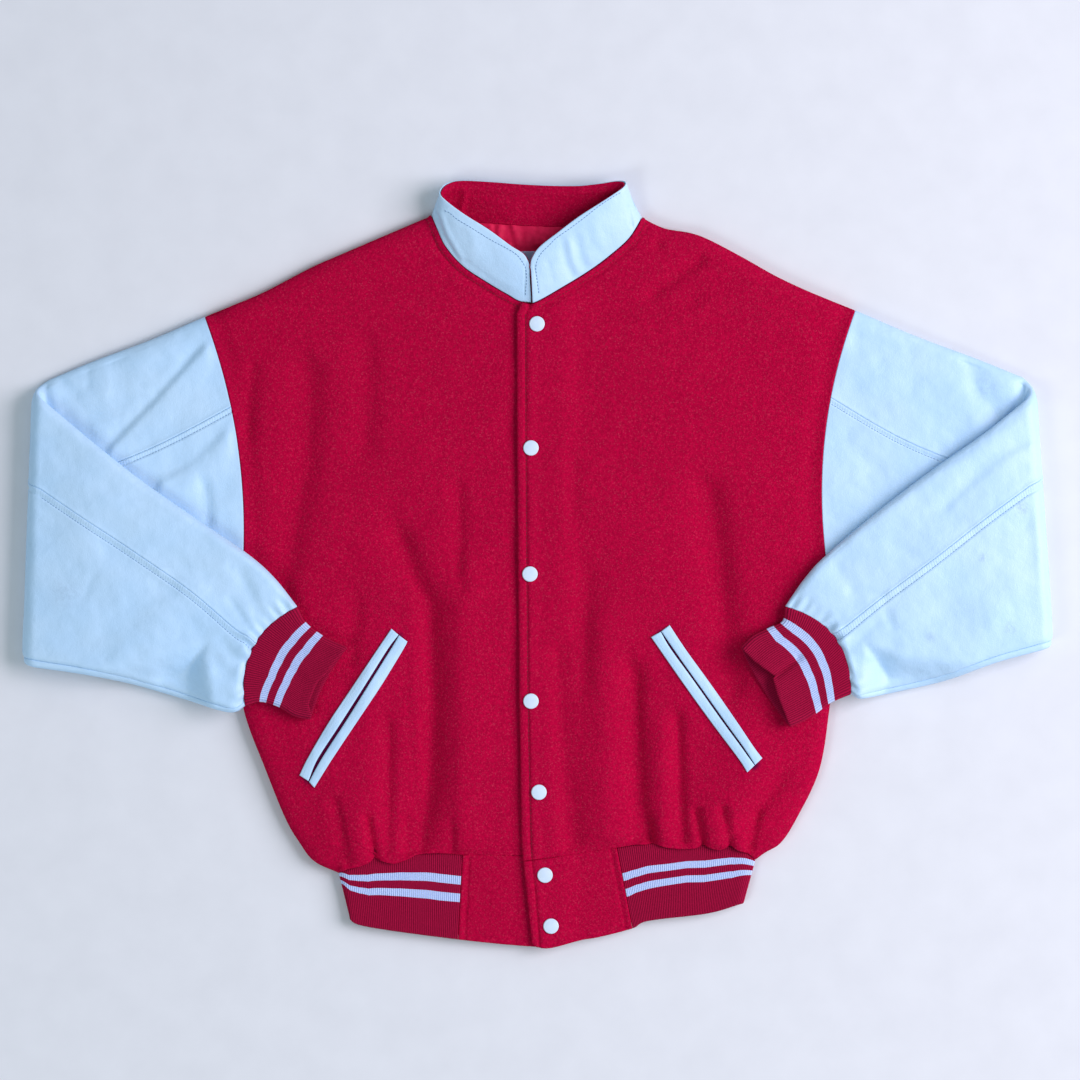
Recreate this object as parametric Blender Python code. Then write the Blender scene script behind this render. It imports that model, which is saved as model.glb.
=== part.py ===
"""Varsity jacket lying face up, its sleeves folded in so that the cuffs lie on the fronts.

Every cloth piece is one closed shell. It starts as a grid of points through the middle of
the wall, and each point is moved out and in along the wall's normal by half the thickness.
The body and the sleeves are tubes laid flat: the height of a point is found from how far it
lies from the nearest folded edge, where the two layers meet.

Lengths are in millimetres here, and `add_piece` scales them to metres. +Z is up, +Y runs
to the collar, and +X is the wearer's left. The origin is on the floor below the middle.
"""
import bpy
import numpy as np
from mathutils import Vector
from mathutils.bvhtree import BVHTree

# --- cloth and seams
MM = 0.001
WOOL = 2.4
LEATHER = 1.8
KNIT = 3.0
COLLAR_LEATHER = 1.2
COLLAR_WOOL = 1.4
SATIN = 1.0
SEAM = 0.3

# --- how the layers lie
BODY_HALF = 7.0         # half the height between the middles of front and back
HEM_HALF = 5.5          # the same at the waistband's seam
RIB_END_HALF = 4.5      # the same at the waistband's lower edge
HEM_RISE = 30.0         # distance over which the body swells above the waistband
ROLL = 16.0             # width of the rounded edge beside a fold
BAND_ROLL = 9.0         # the same at the waistband's lower edge
EDGE_STEPS = np.array([0.0, 1.5, 6.5, ROLL])    # grid lines beside a fold
FOREARM_FLOOR = 17.6    # what the forearms lie on, above the floor
DROOP_START = 28.0      # how far past the edge below it a forearm stays level
DROOP = 30.0            # distance over which it then drops to the floor
LAP_LIFT = WOOL + 0.5   # how far the left front stands above the right one
LAP_START, LAP_END = 22.0, 46.0                 # x where that lift is whole and where it ends
TURNS = 6               # steps in a sleeve's half turn at its fold
ROUND_STEPS = 8         # stretches that a rounded outline has between two of its points
BACK_NECK_PLACES = (0.0, 0.4, 0.75, 0.9, 0.97, 1.0)     # grid lines along half the back's neck
ARM_CHORD = 288.0       # shoulder point to underarm, straight

# --- small pieces
SNAP_RADIUS = 7.7
SNAP_HEIGHT = 2.2
WELT_WIDTH = {"right": 10.0, "left": 9.0}
REST_GAP = 0.5          # between a panel and what is sewn on it
NECK_INSET = 1.2        # from the neck edge of the body to the foot of the collar
INNER_START = 0.04      # share of the collar's rise at which its inner face begins
RIB_DEPTH = 0.5
RIB_PITCH = 2.1
CUFF_RIBS = 48

# --- outlines of the body in plan, x and y, from the centre front outwards
BODY = {
    "right": {
        "side": -1.0,
        "front_edge": [(11.5, -293.0), (11.5, 261.0)],
        "neckline": [(11.5, 261.0), (-14.0, 261.0), (-29.5, 268.6), (-50.5, 281.0), (-73.5, 296.5),
                     (-90.6, 315.5), (-98.2, 330.8), (-105.0, 347.0)],
        "shoulder": [(-105.0, 347.0), (-192.5, 309.5), (-224.5, 295.5), (-272.5, 270.5),
                     (-304.5, 257.0), (-331.5, 246.0)],
        "underarm": (-296.5, -36.5),
        "arm_bow": 17.0,
        "side_seam": [(-296.5, -36.5), (-297.0, -90.0), (-292.0, -146.5), (-270.0, -206.5),
                      (-250.5, -254.5), (-236.5, -278.5), (-222.0, -297.0), (-197.0, -309.0)],
        "hem": [(11.5, -293.0), (-14.0, -292.5), (-74.0, -291.5), (-140.0, -298.5),
                (-180.0, -303.5), (-197.0, -309.0)],
        "band_end": (-186.0, -352.0),
        "band_foot": [(12.0, -382.0), (-7.5, -383.0), (-78.5, -376.0), (-173.5, -362.5),
                      (-186.0, -352.0)],
        "block_top": (-74.0, -291.5),
        "block_foot": (-78.5, -376.0),
    },
    "left": {
        "side": 1.0,
        "front_edge": [(-13.6, -297.5), (-15.0, -276.5), (-17.5, -136.5), (-19.5, 113.5),
                       (-20.0, 250.0), (-15.0, 261.0)],
        "neckline": [(-15.0, 261.0), (-1.6, 260.4), (30.0, 278.0), (54.8, 293.5), (74.0, 307.8),
                     (93.0, 325.0), (105.5, 345.0)],
        "shoulder": [(105.5, 345.0), (127.5, 334.5), (155.0, 329.5), (175.5, 321.5),
                     (207.5, 304.5), (239.5, 286.5), (271.5, 271.5), (303.5, 258.5),
                     (318.5, 252.5)],
        "underarm": (296.5, -36.5),
        "arm_bow": 21.0,
        "side_seam": [(296.5, -36.5), (297.0, -90.0), (292.0, -146.5), (282.0, -206.5),
                      (259.5, -254.5), (244.0, -278.5), (229.0, -288.0), (218.0, -296.0)],
        "hem": [(-13.6, -297.5), (18.5, -293.5), (80.5, -284.5), (140.0, -284.5),
                (185.0, -288.5), (218.0, -296.0)],
        "band_end": (206.0, -340.0),
        "band_foot": [(-4.7, -380.0), (0.5, -383.5), (14.5, -384.5), (43.5, -377.0), (63.5, -373.5),
                      (96.0, -365.0), (112.0, -357.5), (171.5, -350.0), (206.0, -340.0)],
        "block_top": (80.5, -284.5),
        "block_foot": (96.0, -365.0),
    },
}
BACK_NECKLINE = [(-105.0, 347.0), (-85.0, 345.0), (-56.0, 342.0), (-2.6, 338.5), (40.0, 338.0),
                 (75.0, 340.5), (105.5, 345.0)]
BACK_HEM = [(-197.0, -309.0), (-180.0, -303.5), (-140.0, -298.5), (-60.0, -294.0), (0.0, -292.0),
            (60.0, -289.0), (140.0, -284.5), (185.0, -288.5), (218.0, -296.0)]
BACK_BAND_FOOT = [(-186.0, -352.0), (-160.0, -361.0), (-78.5, -372.0), (14.5, -378.0),
                  (98.5, -358.0), (171.5, -346.5), (206.0, -340.0)]

# Soft folds of the fronts: a ridge from one point to another, its half width and its height.
FOLD_COLUMNS = ("x0", "y0", "x1", "y1", "spread", "height")
FRONT_FOLDS = [
    (-162.0, -165.0, -157.0, -284.0, 15.0, 4.0),
    (-108.0, -90.0, -104.0, -276.0, 14.0, 3.5),
    (-205.0, -190.0, -186.0, -282.0, 14.0, 3.0),
    (120.0, -110.0, 116.0, -268.0, 14.0, 4.0),
    (160.0, -150.0, 152.0, -270.0, 13.0, 3.0),
    (206.0, -175.0, 199.0, -270.0, 13.0, 4.0),
    (-210.0, 180.0, -225.0, 20.0, 34.0, 2.0),
    (205.0, 170.0, 215.0, 20.0, 34.0, 2.0),
]

# Sections of each sleeve: its top fold, its underarm fold, how far the section bows back
# along the sleeve, half its height, and the places of its front and back seams.
SECTION_COLUMNS = ("top_x", "top_y", "under_x", "under_y", "bow", "half", "front_seam", "back_seam")
UPPER_ARM = {
    "right": [
        (-331.5, 246.0, -296.5, -36.5, 17.0, 7.0, 0.33, 0.33),
        (-386.5, 222.5, -385.0, -60.5, 9.0, 6.8, 0.37, 0.33),
        (-441.5, 202.0, -441.5, -76.0, 4.0, 6.0, 0.39, 0.33),
        (-487.0, 183.0, -500.5, -96.0, 0.0, 4.5, 0.40, 0.33),
    ],
    "left": [
        (318.5, 252.5, 296.5, -36.5, 21.0, 7.0, 0.32, 0.33),
        (378.5, 227.0,368.0, -60.0, 10.0, 6.8, 0.37, 0.33),
        (438.5, 204.5, 435.0, -69.0, 4.0, 6.0, 0.40, 0.33),
        (486.0, 185.5, 502.5, -78.0, 0.0, 4.5, 0.41, 0.335),
    ],
}
FOREARM = {
    "right": [
        (-493.0, 162.0, -500.5, -103.0, 0.0, 4.5, 0.40, 0.33),
        (-447.0, 123.5, -452.0, -110.0, 0.0, 6.5, 0.40, 0.345),
        (-396.5, 83.5, -404.0, -120.0, 0.0, 7.0, 0.40, 0.36),
        (-341.5, 45.0, -352.0, -135.0, 0.0, 7.0, 0.41, 0.40),
        (-289.5, 9.5, -316.0, -146.0, 0.0, 7.0, 0.43, 0.474),
        (-262.5, -14.5, -301.0, -147.5, 9.0, 7.0, 0.44, 0.455),
        (-239.5, -43.5, -291.2, -141.3, 20.0, 5.0, 0.45, 0.457),
    ],
    "left": [
        (486.0, 160.0, 503.5, -86.0, 0.0, 4.5, 0.41, 0.336),
        (447.0, 129.0, 458.0, -98.5, 0.0, 6.5, 0.41, 0.359),
        (397.0, 94.0, 410.0, -116.0, 0.0, 7.0, 0.41, 0.404),
        (345.0, 54.5, 361.0, -127.5, 0.0, 7.0, 0.42, 0.4535),
        (291.0, 9.0, 333.0, -133.0, 0.0, 7.0, 0.43, 0.487),
        (269.0, -14.5, 322.0, -134.0, 9.0, 7.0, 0.44, 0.47),
        (249.0, -43.1, 314.0, -129.2, 20.7, 5.0, 0.45, 0.455),
    ],
}

# Sections of each cuff: as above, with a bow for the upper wall and one for the lower wall.
CUFF_COLUMNS = ("top_x", "top_y", "under_x", "under_y", "lower_bow", "upper_bow", "half")
CUFF = {
    "right": [
        (-239.5, -43.5, -291.2, -141.3, 20.0, 20.0, 5.0),
        (-231.0, -59.5, -275.5, -137.0, 10.0, 7.0, 5.0),
        (-214.5, -72.5, -256.5, -142.5, 6.0, 4.0, 5.0),
        (-201.5, -79.0, -241.5, -151.5, 5.0, 6.0, 5.0),
        (-188.9, -84.5, -225.5, -155.0, 4.0, 10.0, 5.5),
    ],
    "left": [
        (249.0, -43.1, 314.0, -129.2, 20.7, 20.7, 5.0),
        (246.5, -58.0, 292.5, -138.5, 14.0, 12.0, 5.0),
        (231.5, -65.5, 280.5, -147.5, 9.0, 11.0, 5.0),
        (215.5, -73.5, 266.5, -156.5, 3.0, 12.0, 5.5),
        (204.3, -84.5, 252.5, -162.5, -3.0, 13.0, 6.5),
    ],
}

# Collar, from the wearer's right end round the back to the left end: the place along the
# neckline, 0 to 1, the upper edge above it, and how far the stand bulges between the two.
COLLAR_COLUMNS = ("place", "edge_x", "edge_y", "edge_z", "bulge")
COLLAR = [
    (0.000, -6.8, 299.0, 27.0, 2.0),
    (0.020, -13.0, 309.0, 28.5, 2.5),
    (0.053, -26.0, 317.5, 30.0, 3.0),
    (0.103, -48.0, 333.5, 31.5, 3.0),
    (0.160, -72.0, 348.5, 32.0, 2.5),
    (0.212, -89.5, 361.5, 31.0, 1.5),
    (0.247, -96.5, 369.5, 28.0, 0.5),
    (0.278, -94.0, 376.5, 22.5, 0.0),
    (0.302, -87.0, 381.0, 17.5, 0.5),
    (0.337, -75.0, 383.0, 15.0, 1.5),
    (0.384, -49.0, 382.0, 14.0, 2.0),
    (0.493, -2.6, 378.7, 14.0, 2.0),
    (0.580, 38.0, 377.8, 14.0, 2.0),
    (0.644, 63.0, 380.0, 15.0, 1.5),
    (0.684, 80.5, 382.5, 18.0, 0.5),
    (0.709, 88.5, 381.5, 23.0, -1.0),
    (0.723, 87.5, 376.5, 27.0, -1.0),
    (0.740, 79.0, 370.0, 30.0, 0.5),
    (0.765, 63.0, 359.5, 32.0, 1.5),
    (0.817, 42.0, 346.0, 32.5, 2.5),
    (0.866, 22.0, 331.0, 32.0, 3.0),
    (0.926, 3.0, 316.0, 31.0, 3.0),
    (0.965, -4.0, 304.5, 30.0, 2.5),
    (1.000, -4.8, 296.0, 29.0, 2.0),
]
NECK_POINTS = (0.283, 0.712)    # places of the shoulders' neck ends
COLLAR_RISE_STEPS = 4

# Pocket welts in plan, from the upper end to the lower end of each centre line.
WELTS = {
    "welt_right_outer": [(-143.5, -68.5), (-155.0, -86.5), (-186.5, -134.5), (-216.5, -182.5),
                         (-230.5, -212.0)],
    "welt_right_inner": [(-133.0, -75.0), (-140.5, -86.5), (-169.5, -134.5), (-201.0, -182.5),
                         (-218.5, -218.0)],
    "welt_left_inner": [(119.5, -72.5), (129.0, -86.5), (163.0, -134.5), (198.0, -182.5),
                        (211.0, -202.5)],
    "welt_left_outer": [(130.5, -65.0), (144.0, -86.5), (178.0, -134.5), (211.5, -182.5),
                        (220.0, -195.5)],
}
COLLAR_ENDS = {"right": -5.6, "left": -1.6}     # x of the collar's ends at the centre front
SNAPS = [(0.5, 239.5), (-5.5, 115.5), (-6.5, -10.5), (-5.5, -137.5), (2.5, -228.5),
         (8.5, -311.5), (14.5, -362.5)]

# Finish of each material: colour, roughness, metallic.
FINISHES = {
    "wool_melton": ((0.38, 0.004, 0.035), 0.95, 0.0),
    "leather_white": ((0.66, 0.80, 0.90), 0.5, 0.0),
    "rib_knit": ((0.28, 0.012, 0.045), 0.9, 0.0),
    "satin_lining": ((0.45, 0.02, 0.06), 0.35, 0.0),
    "woven_tape": ((0.55, 0.63, 0.90), 0.6, 0.0),
    "snap_enamel": ((0.72, 0.82, 0.90), 0.3, 0.0),
}


# ------------------------------------------------------------------ small geometry tools
def unit(vectors):
    """Vectors scaled to length 1."""
    return vectors / np.maximum(np.linalg.norm(vectors, axis=-1, keepdims=True), 1e-12)


def smooth_step(value):
    """0 below 0, 1 above 1, and an even S between them."""
    value = np.clip(value, 0.0, 1.0)
    return value * value * (3.0 - 2.0 * value)


def rows(table, columns):
    """A short table as one array for each of its named columns."""
    return dict(zip(columns, np.array(table, float).T))


def path_places(path):
    """How far along a path each of its points lies, 0 to 1."""
    steps = np.linalg.norm(np.diff(path, axis=0), axis=1)
    return np.concatenate([[0.0], np.cumsum(steps)]) / steps.sum()


def along_path(path, places):
    """Points at the given places, 0 to 1, along a path of straight stretches."""
    path = np.array(path, float)
    return np.stack([np.interp(places, path_places(path), column) for column in path.T], axis=1)


def round_path(path, steps=ROUND_STEPS):
    """The path with rounded bends: a Catmull-Rom curve through its points."""
    path = np.array(path, float)
    ends = np.vstack([2 * path[0] - path[1], path, 2 * path[-1] - path[-2]])
    share = np.linspace(0.0, 1.0, steps, endpoint=False)[:, None]
    parts = []
    for before, start, stop, after in zip(ends, ends[1:], ends[2:], ends[3:]):
        parts.append(start + 0.5 * share * (stop - before)
                     + share ** 2 * (before - 2.5 * start + 2 * stop - 0.5 * after)
                     + 0.5 * share ** 3 * (after - before + 3 * (start - stop)))
    return np.vstack(parts + [path[-1:]])


def path_length(path):
    """Length of a path."""
    return np.linalg.norm(np.diff(np.array(path, float), axis=0), axis=1).sum()


def distance_to_path(points, path):
    """Shortest distance in plan from each point to a path."""
    points, path = np.asarray(points, float)[..., None, :2], np.array(path, float)
    start, run = path[:-1], np.diff(path, axis=0)
    share = ((points - start) * run).sum(-1) / (run * run).sum(-1)
    nearest = start + np.clip(share, 0.0, 1.0)[..., None] * run
    return np.linalg.norm(points - nearest, axis=-1).min(-1)


def inside_outline(points, outline):
    """Whether each point lies inside a closed outline in plan."""
    x, y = points[..., 0], points[..., 1]
    inside = np.zeros(x.shape, bool)
    for (x0, y0), (x1, y1) in zip(outline, np.roll(outline, -1, axis=0)):
        level = y1 - y0 if abs(y1 - y0) > 1e-9 else 1e-9
        inside ^= ((y0 > y) != (y1 > y)) & (x < x0 + (y - y0) * (x1 - x0) / level)
    return inside


def roll(distance, width=ROLL):
    """Share of the full height at a distance from a fold: a quarter of an ellipse."""
    inward = np.clip(distance / width, 0.0, 1.0)
    return np.sqrt(1.0 - (1.0 - inward) ** 2)


def tangents(points, axis, closed=False):
    """Unit directions along one axis of a grid, halving the corner at each point."""
    if closed:
        forward = unit(np.roll(points, -1, axis=axis) - points)
        return unit(forward + np.roll(forward, 1, axis=axis))
    step = unit(np.diff(points, axis=axis))
    before = np.concatenate([np.take(step, [0], axis), step], axis=axis)
    after = np.concatenate([step, np.take(step, [-1], axis)], axis=axis)
    return unit(before + after)


def grid_normals(points, outward, closed=False):
    """Unit normals of a grid, on the side that `outward` (1 or -1) picks."""
    return outward * unit(np.cross(tangents(points, 0), tangents(points, 1, closed)))


def level_across(path, toward):
    """Level unit vectors across a path in plan, on the side of the point `toward`."""
    path = np.asarray(path, float)[:, :2]
    along = tangents(path, 0)
    across = np.stack([-along[:, 1], along[:, 0], np.zeros(len(path))], axis=1)
    middle = len(path) // 2
    if across[middle, :2] @ (np.array(toward, float)[:2] - path[middle]) < 0:
        across = -across
    return across


def square_to(normals, into):
    """Unit normals turned square to the directions `into`."""
    return unit(normals - (normals * into).sum(-1, keepdims=True) * into)


def level_step(start, stop):
    """Level unit vector from one point towards another."""
    return unit((stop - start) * np.array([1.0, 1.0, 0.0]))


def pull_back(points, normals, edge, into, gap=SEAM / 2):
    """Draw an edge back from its seam along `into`, and square its end to that direction."""
    points[edge] += gap * into
    normals[edge] = square_to(normals[edge], into)


def coons(foot, top, start, end, across, up):
    """Grid of plan points inside four edges, from their points at places across and up."""
    across, up = across[:, None, None], up[None, :, None]
    foot, top, start, end = foot[:, None], top[:, None], start[None], end[None]
    corners = ((1 - across) * ((1 - up) * foot[0, 0] + up * top[0, 0])
               + across * ((1 - up) * foot[-1, 0] + up * top[-1, 0]))
    return (1 - up) * foot + up * top + (1 - across) * start + across * end - corners


# ------------------------------------------------------------------ from points to pieces
def zip_faces(lower, upper, lower_places, upper_places):
    """Triangles between two rows of corners that need not have the same count."""
    faces, low, high = [], 0, 0
    while low < len(lower) - 1 or high < len(upper) - 1:
        step_low = high == len(upper) - 1
        if not step_low and low < len(lower) - 1:
            step_low = lower_places[low + 1] <= upper_places[high + 1] + 1e-9
        if step_low:
            faces.append((lower[low], lower[low + 1], upper[high]))
            low += 1
        else:
            faces.append((lower[low], upper[high + 1], upper[high]))
            high += 1
    return faces


def grid_faces(corners):
    """Two triangles for each cell of a grid of corner numbers."""
    a, b = corners[:-1, :-1].ravel(), corners[1:, :-1].ravel()
    c, d = corners[1:, 1:].ravel(), corners[:-1, 1:].ravel()
    return np.concatenate([np.stack([a, b, c], 1), np.stack([a, c, d], 1)]).tolist()


def rim_faces(outer, inner, core, outer_places, inner_places):
    """Faces of a wall's end, by way of the points at its core where it has ribs."""
    if core is None:
        return zip_faces(outer, inner, outer_places, inner_places)
    strip = grid_faces(np.stack([outer, core], axis=1))
    return strip + zip_faces(core, inner, outer_places, inner_places)


def side_faces(outer, inner, core):
    """Faces of a wall's side, through the core point at each of its two ends."""
    faces, last = [], len(outer) - 2
    for k in range(last + 1):
        a, b, c, d = outer[k], outer[k + 1], inner[k + 1], inner[k]
        if core is not None and k == 0:
            faces += [(core[0], a, b), (core[0], b, c), (core[0], c, d)]
        elif core is not None and k == last:
            faces += [(core[1], c, d), (core[1], d, a), (core[1], a, b)]
        else:
            faces += [(a, b, d), (b, c, d)]
    return faces


def shell_faces(outer, inner, core, outer_places, inner_places, closed):
    """Faces of a closed shell between an outer and an inner grid of corner numbers."""
    if closed:
        outer, inner = np.hstack([outer, outer[:, :1]]), np.hstack([inner, inner[:, :1]])
        core = None if core is None else np.hstack([core, core[:, :1]])
    faces = grid_faces(outer) + [face[::-1] for face in grid_faces(inner)]
    ends = (None, None) if core is None else core
    faces += rim_faces(outer[0], inner[0], ends[0], outer_places, inner_places)
    far = rim_faces(outer[-1], inner[-1], ends[1], outer_places, inner_places)
    faces += [face[::-1] for face in far]
    if not closed:
        sides = (None, None) if core is None else (core[:, 0], core[:, -1])
        faces += [face[::-1] for face in side_faces(outer[:, 0], inner[:, 0], sides[0])]
        faces += side_faces(outer[:, -1], inner[:, -1], sides[1])
    return faces


def add_piece(name, corners, faces, finish):
    """Make one object from corners in millimetres and faces, all facing out."""
    mesh = bpy.data.meshes.new(name)
    mesh.from_pydata((np.asarray(corners) * MM).tolist(), [], faces)
    a, b, c = (np.array(corners)[np.array(faces)[:, k]] for k in range(3))
    if (a * np.cross(b, c)).sum() < 0:
        mesh.flip_normals()
    mesh.materials.append(material(finish))
    mesh.shade_smooth()
    mesh.set_sharp_from_angle(angle=np.radians(40))
    piece = bpy.data.objects.new(name, mesh)
    bpy.context.collection.objects.link(piece)
    return piece


def add_shell(name, middle, normals, thickness, finish, closed=False, ribs=None):
    """A piece of cloth from its middle points. `ribs` gives its outer points instead."""
    inner = middle - normals * thickness / 2
    inner_places = np.linspace(0.0, 1.0, middle.shape[1] + closed)
    if ribs is None:
        grids, outer_places = [middle + normals * thickness / 2, inner], inner_places
    else:
        outer, core, outer_places = ribs
        grids = [outer, inner, core]
    numbers, count = [], 0
    for grid in grids:
        size = grid.shape[0] * grid.shape[1]
        numbers.append(count + np.arange(size).reshape(grid.shape[:2]))
        count += size
    numbers += [None] * (3 - len(numbers))
    corners = np.vstack([grid.reshape(-1, 3) for grid in grids])
    faces = shell_faces(*numbers, outer_places, inner_places, closed)
    return add_piece(name, corners, faces, finish)


def rib_points(middle, normals, thickness, counts, closed=False):
    """Outer points with `counts` ribs in each cell, the core of both ends, places around."""
    if closed:
        middle = np.concatenate([middle, middle[:, :1]], axis=1)
        normals = np.concatenate([normals, normals[:, :1]], axis=1)
    cells = middle.shape[1] - 1
    where, lift = [], []
    for cell, count in enumerate(counts):
        steps = max(2 * count, 1)
        where += [cell + step / steps for step in range(steps)]
        lift += [(step % 2) * RIB_DEPTH for step in range(steps)]
    if not closed:
        where.append(float(cells))
        lift.append(0.0)
    where = np.array(where)
    cell = np.minimum(where.astype(int), cells - 1)
    share = (where - cell)[None, :, None]
    base = middle[:, cell] * (1 - share) + middle[:, cell + 1] * share
    out = unit(normals[:, cell] * (1 - share) + normals[:, cell + 1] * share)
    height = thickness / 2 + np.array(lift)[None, :, None]
    places = where / cells
    places = np.append(places, 1.0) if closed else places
    return base + out * height, base[[0, -1]], places


def material(name):
    """The named material, made the first time it is asked for."""
    if name in bpy.data.materials:
        return bpy.data.materials[name]
    colour, roughness, metallic = FINISHES[name]
    made = bpy.data.materials.new(name)
    made.use_nodes = True
    shader = made.node_tree.nodes["Principled BSDF"]
    shader.inputs["Base Color"].default_value = (*colour, 1.0)
    shader.inputs["Roughness"].default_value = roughness
    shader.inputs["Metallic"].default_value = metallic
    return made


# ------------------------------------------------------------------ heights of the body
def folded_edges():
    """The body's folded edges in plan: both shoulders and both side seams."""
    edges = [round_path(BODY[s][edge]) for s in BODY for edge in ("shoulder", "side_seam")]
    return edges


def half_height(points):
    """Half the height between front and back: less by the waistband, whole above it."""
    hems = [round_path(BODY[side]["hem"]) for side in BODY]
    above = np.min([distance_to_path(points, hem) for hem in hems], axis=0)
    return HEM_HALF + (BODY_HALF - HEM_HALF) * smooth_step(above / HEM_RISE)


def front_folds(points, edge_distance):
    """Height of the soft folds of the fronts, which fade out beside folds and seams."""
    table = rows(FRONT_FOLDS, FOLD_COLUMNS)
    total = np.zeros(points.shape[:-1])
    for x0, y0, x1, y1, spread, height in zip(*table.values()):
        away = distance_to_path(points, [(x0, y0), (x1, y1)])
        total += height * np.exp(-(away / spread) ** 2)
    hems = [round_path(BODY[side]["hem"]) for side in BODY]
    above = np.min([distance_to_path(points, hem) for hem in hems], axis=0)
    return total * smooth_step(edge_distance / 30.0) * smooth_step(above / 12.0)


def body_height(points, layer):
    """Height of the middle of the wool at plan points: layer 1 is the front, -1 the back."""
    edge = np.min([distance_to_path(points, path) for path in folded_edges()], axis=0)
    half = half_height(points)
    height = WOOL / 2 + half * (1.0 + layer * roll(edge))
    if layer > 0:
        height = height + front_folds(points, edge)
    return height


def lap_lift(points):
    """How far the left front is raised where it laps over the right one."""
    return LAP_LIFT * (1.0 - smooth_step((points[..., 0] - LAP_START) / (LAP_END - LAP_START)))


def lift_points(plan, height):
    """Plan points with their heights."""
    return np.concatenate([plan, height[..., None]], axis=-1)


# ------------------------------------------------------------------ rings of the sleeves
def wall_places(seam):
    """Places across one wall, 0 at the top fold and 1 at the underarm, through the seam."""
    near = EDGE_STEPS / ARM_CHORD
    over = np.linspace(near[-1], seam, 3)[1:]
    under = np.linspace(seam, 1 - near[-1], 5)[1:]
    return np.concatenate([near, over, under, 1 - near[::-1][1:]])


def ring_plan(top, under, bow, places, side, turn):
    """Plan points of one wall of a section, bowed back along the sleeve."""
    chord = under - top
    out = np.array([-chord[1], chord[0]]) / np.linalg.norm(chord)
    out = out * np.sign(out[0] * side)
    back = -np.cos(turn) * bow * 4 * places * (1 - places)
    return top + places[:, None] * chord + back[:, None] * out


def armhole_plan(side_name, seam):
    """Plan points of the armhole from the shoulder to the underarm."""
    body = BODY[side_name]
    top, under = np.array(body["shoulder"][-1]), np.array(body["underarm"])
    return ring_plan(top, under, body["arm_bow"], wall_places(seam), body["side"], 0.0)


def lower_outline():
    """Outline in plan of what lies below the forearms: body and upper sleeves."""
    parts = []
    for name, reverse in (("right", False), ("left", True)):
        body, arm = BODY[name], rows(UPPER_ARM[name], SECTION_COLUMNS)
        tops = np.stack([arm["top_x"], arm["top_y"]], axis=1)
        unders = np.stack([arm["under_x"], arm["under_y"]], axis=1)
        half = np.vstack([body["shoulder"][:-1], tops, unders[::-1], body["side_seam"][1:],
                          [body["band_end"]]])
        parts.append(half[::-1] if reverse else half)
    return np.vstack([parts[0], parts[1]])


def forearm_floor(points):
    """Height that a forearm rests on: level over the jacket, dropping to the floor past it."""
    outline = lower_outline()
    away = distance_to_path(points, np.vstack([outline, outline[:1]]))
    away = np.where(inside_outline(points, outline), 0.0, away)
    return FOREARM_FLOOR * (1.0 - smooth_step((away - DROOP_START) / DROOP))


def ring_points(section, places, walls, side, thickness):
    """Points round one section of a flattened tube, down its front wall and up its back.

    `section` holds top, under, bows, half and turn. The tube lies on the floor at turn 0,
    stands on edge at a quarter turn, and lies upside down on the layer below at half a turn.
    """
    top, under, bows, half, turn = section
    points = []
    for wall, share, bow in zip((1.0, -1.0), places, bows):
        plan = ring_plan(top, under, bow, share, side, turn)
        low = thickness / 2 + half
        high = forearm_floor(plan) + thickness / 2 + half
        radius = (high - low) / 2
        offset = wall * half * roll(np.minimum(share, 1 - share), ROLL / ARM_CHORD)
        out = side * (radius - offset) * np.sin(turn)
        up = low + radius * (1 - np.cos(turn)) + offset * np.cos(turn)
        points.append(np.stack([plan[:, 0] + out, plan[:, 1], up], axis=1))
    front, back = points
    return np.vstack([front, back[::-1][1:-1]])[:walls]


def sleeve_sections(side_name):
    """All sections of a sleeve from the armhole to the cuff, and their seams' places."""
    upper = rows(UPPER_ARM[side_name], SECTION_COLUMNS)
    lower = rows(FOREARM[side_name], SECTION_COLUMNS)
    upper_values = np.stack(list(upper.values()), axis=1)
    lower_values = np.stack(list(lower.values()), axis=1)
    shares = np.arange(1, TURNS) / TURNS
    between = upper_values[-1] + shares[:, None] * (lower_values[0] - upper_values[-1])
    values = np.vstack([upper_values, between, lower_values])
    turns = np.concatenate([np.zeros(len(upper_values)), shares * np.pi,
                            np.full(len(lower_values), np.pi)])
    return values, turns


def sleeve_tube(side_name):
    """Middle points and normals of the whole sleeve, a row for each section."""
    side = BODY[side_name]["side"]
    values, turns = sleeve_sections(side_name)
    rings = []
    for (top_x, top_y, under_x, under_y, bow, half, front_seam, back_seam), turn in zip(values, turns):
        section = (np.array([top_x, top_y]), np.array([under_x, under_y]), (bow, bow), half, turn)
        places = (wall_places(front_seam), wall_places(back_seam))
        rings.append(ring_points(section, places, None, side, LEATHER))
    tube = np.array(rings)
    normals = grid_normals(tube, -side, closed=True)
    return tube, normals


def square_tube_ends(tube, normals, first_into, last_into, tips):
    """Draw both ends of a tube back from their seams and square the fold normals."""
    for row, into in ((0, first_into), (-1, last_into)):
        if into is None:
            continue
        pull_back(tube, normals, row, into)
        down = level_step(tube[row, tips[0][0]], tube[row, tips[1][0]])
        for column, sign in tips:
            normals[row, column] = square_to(sign * down, into[column])


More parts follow.
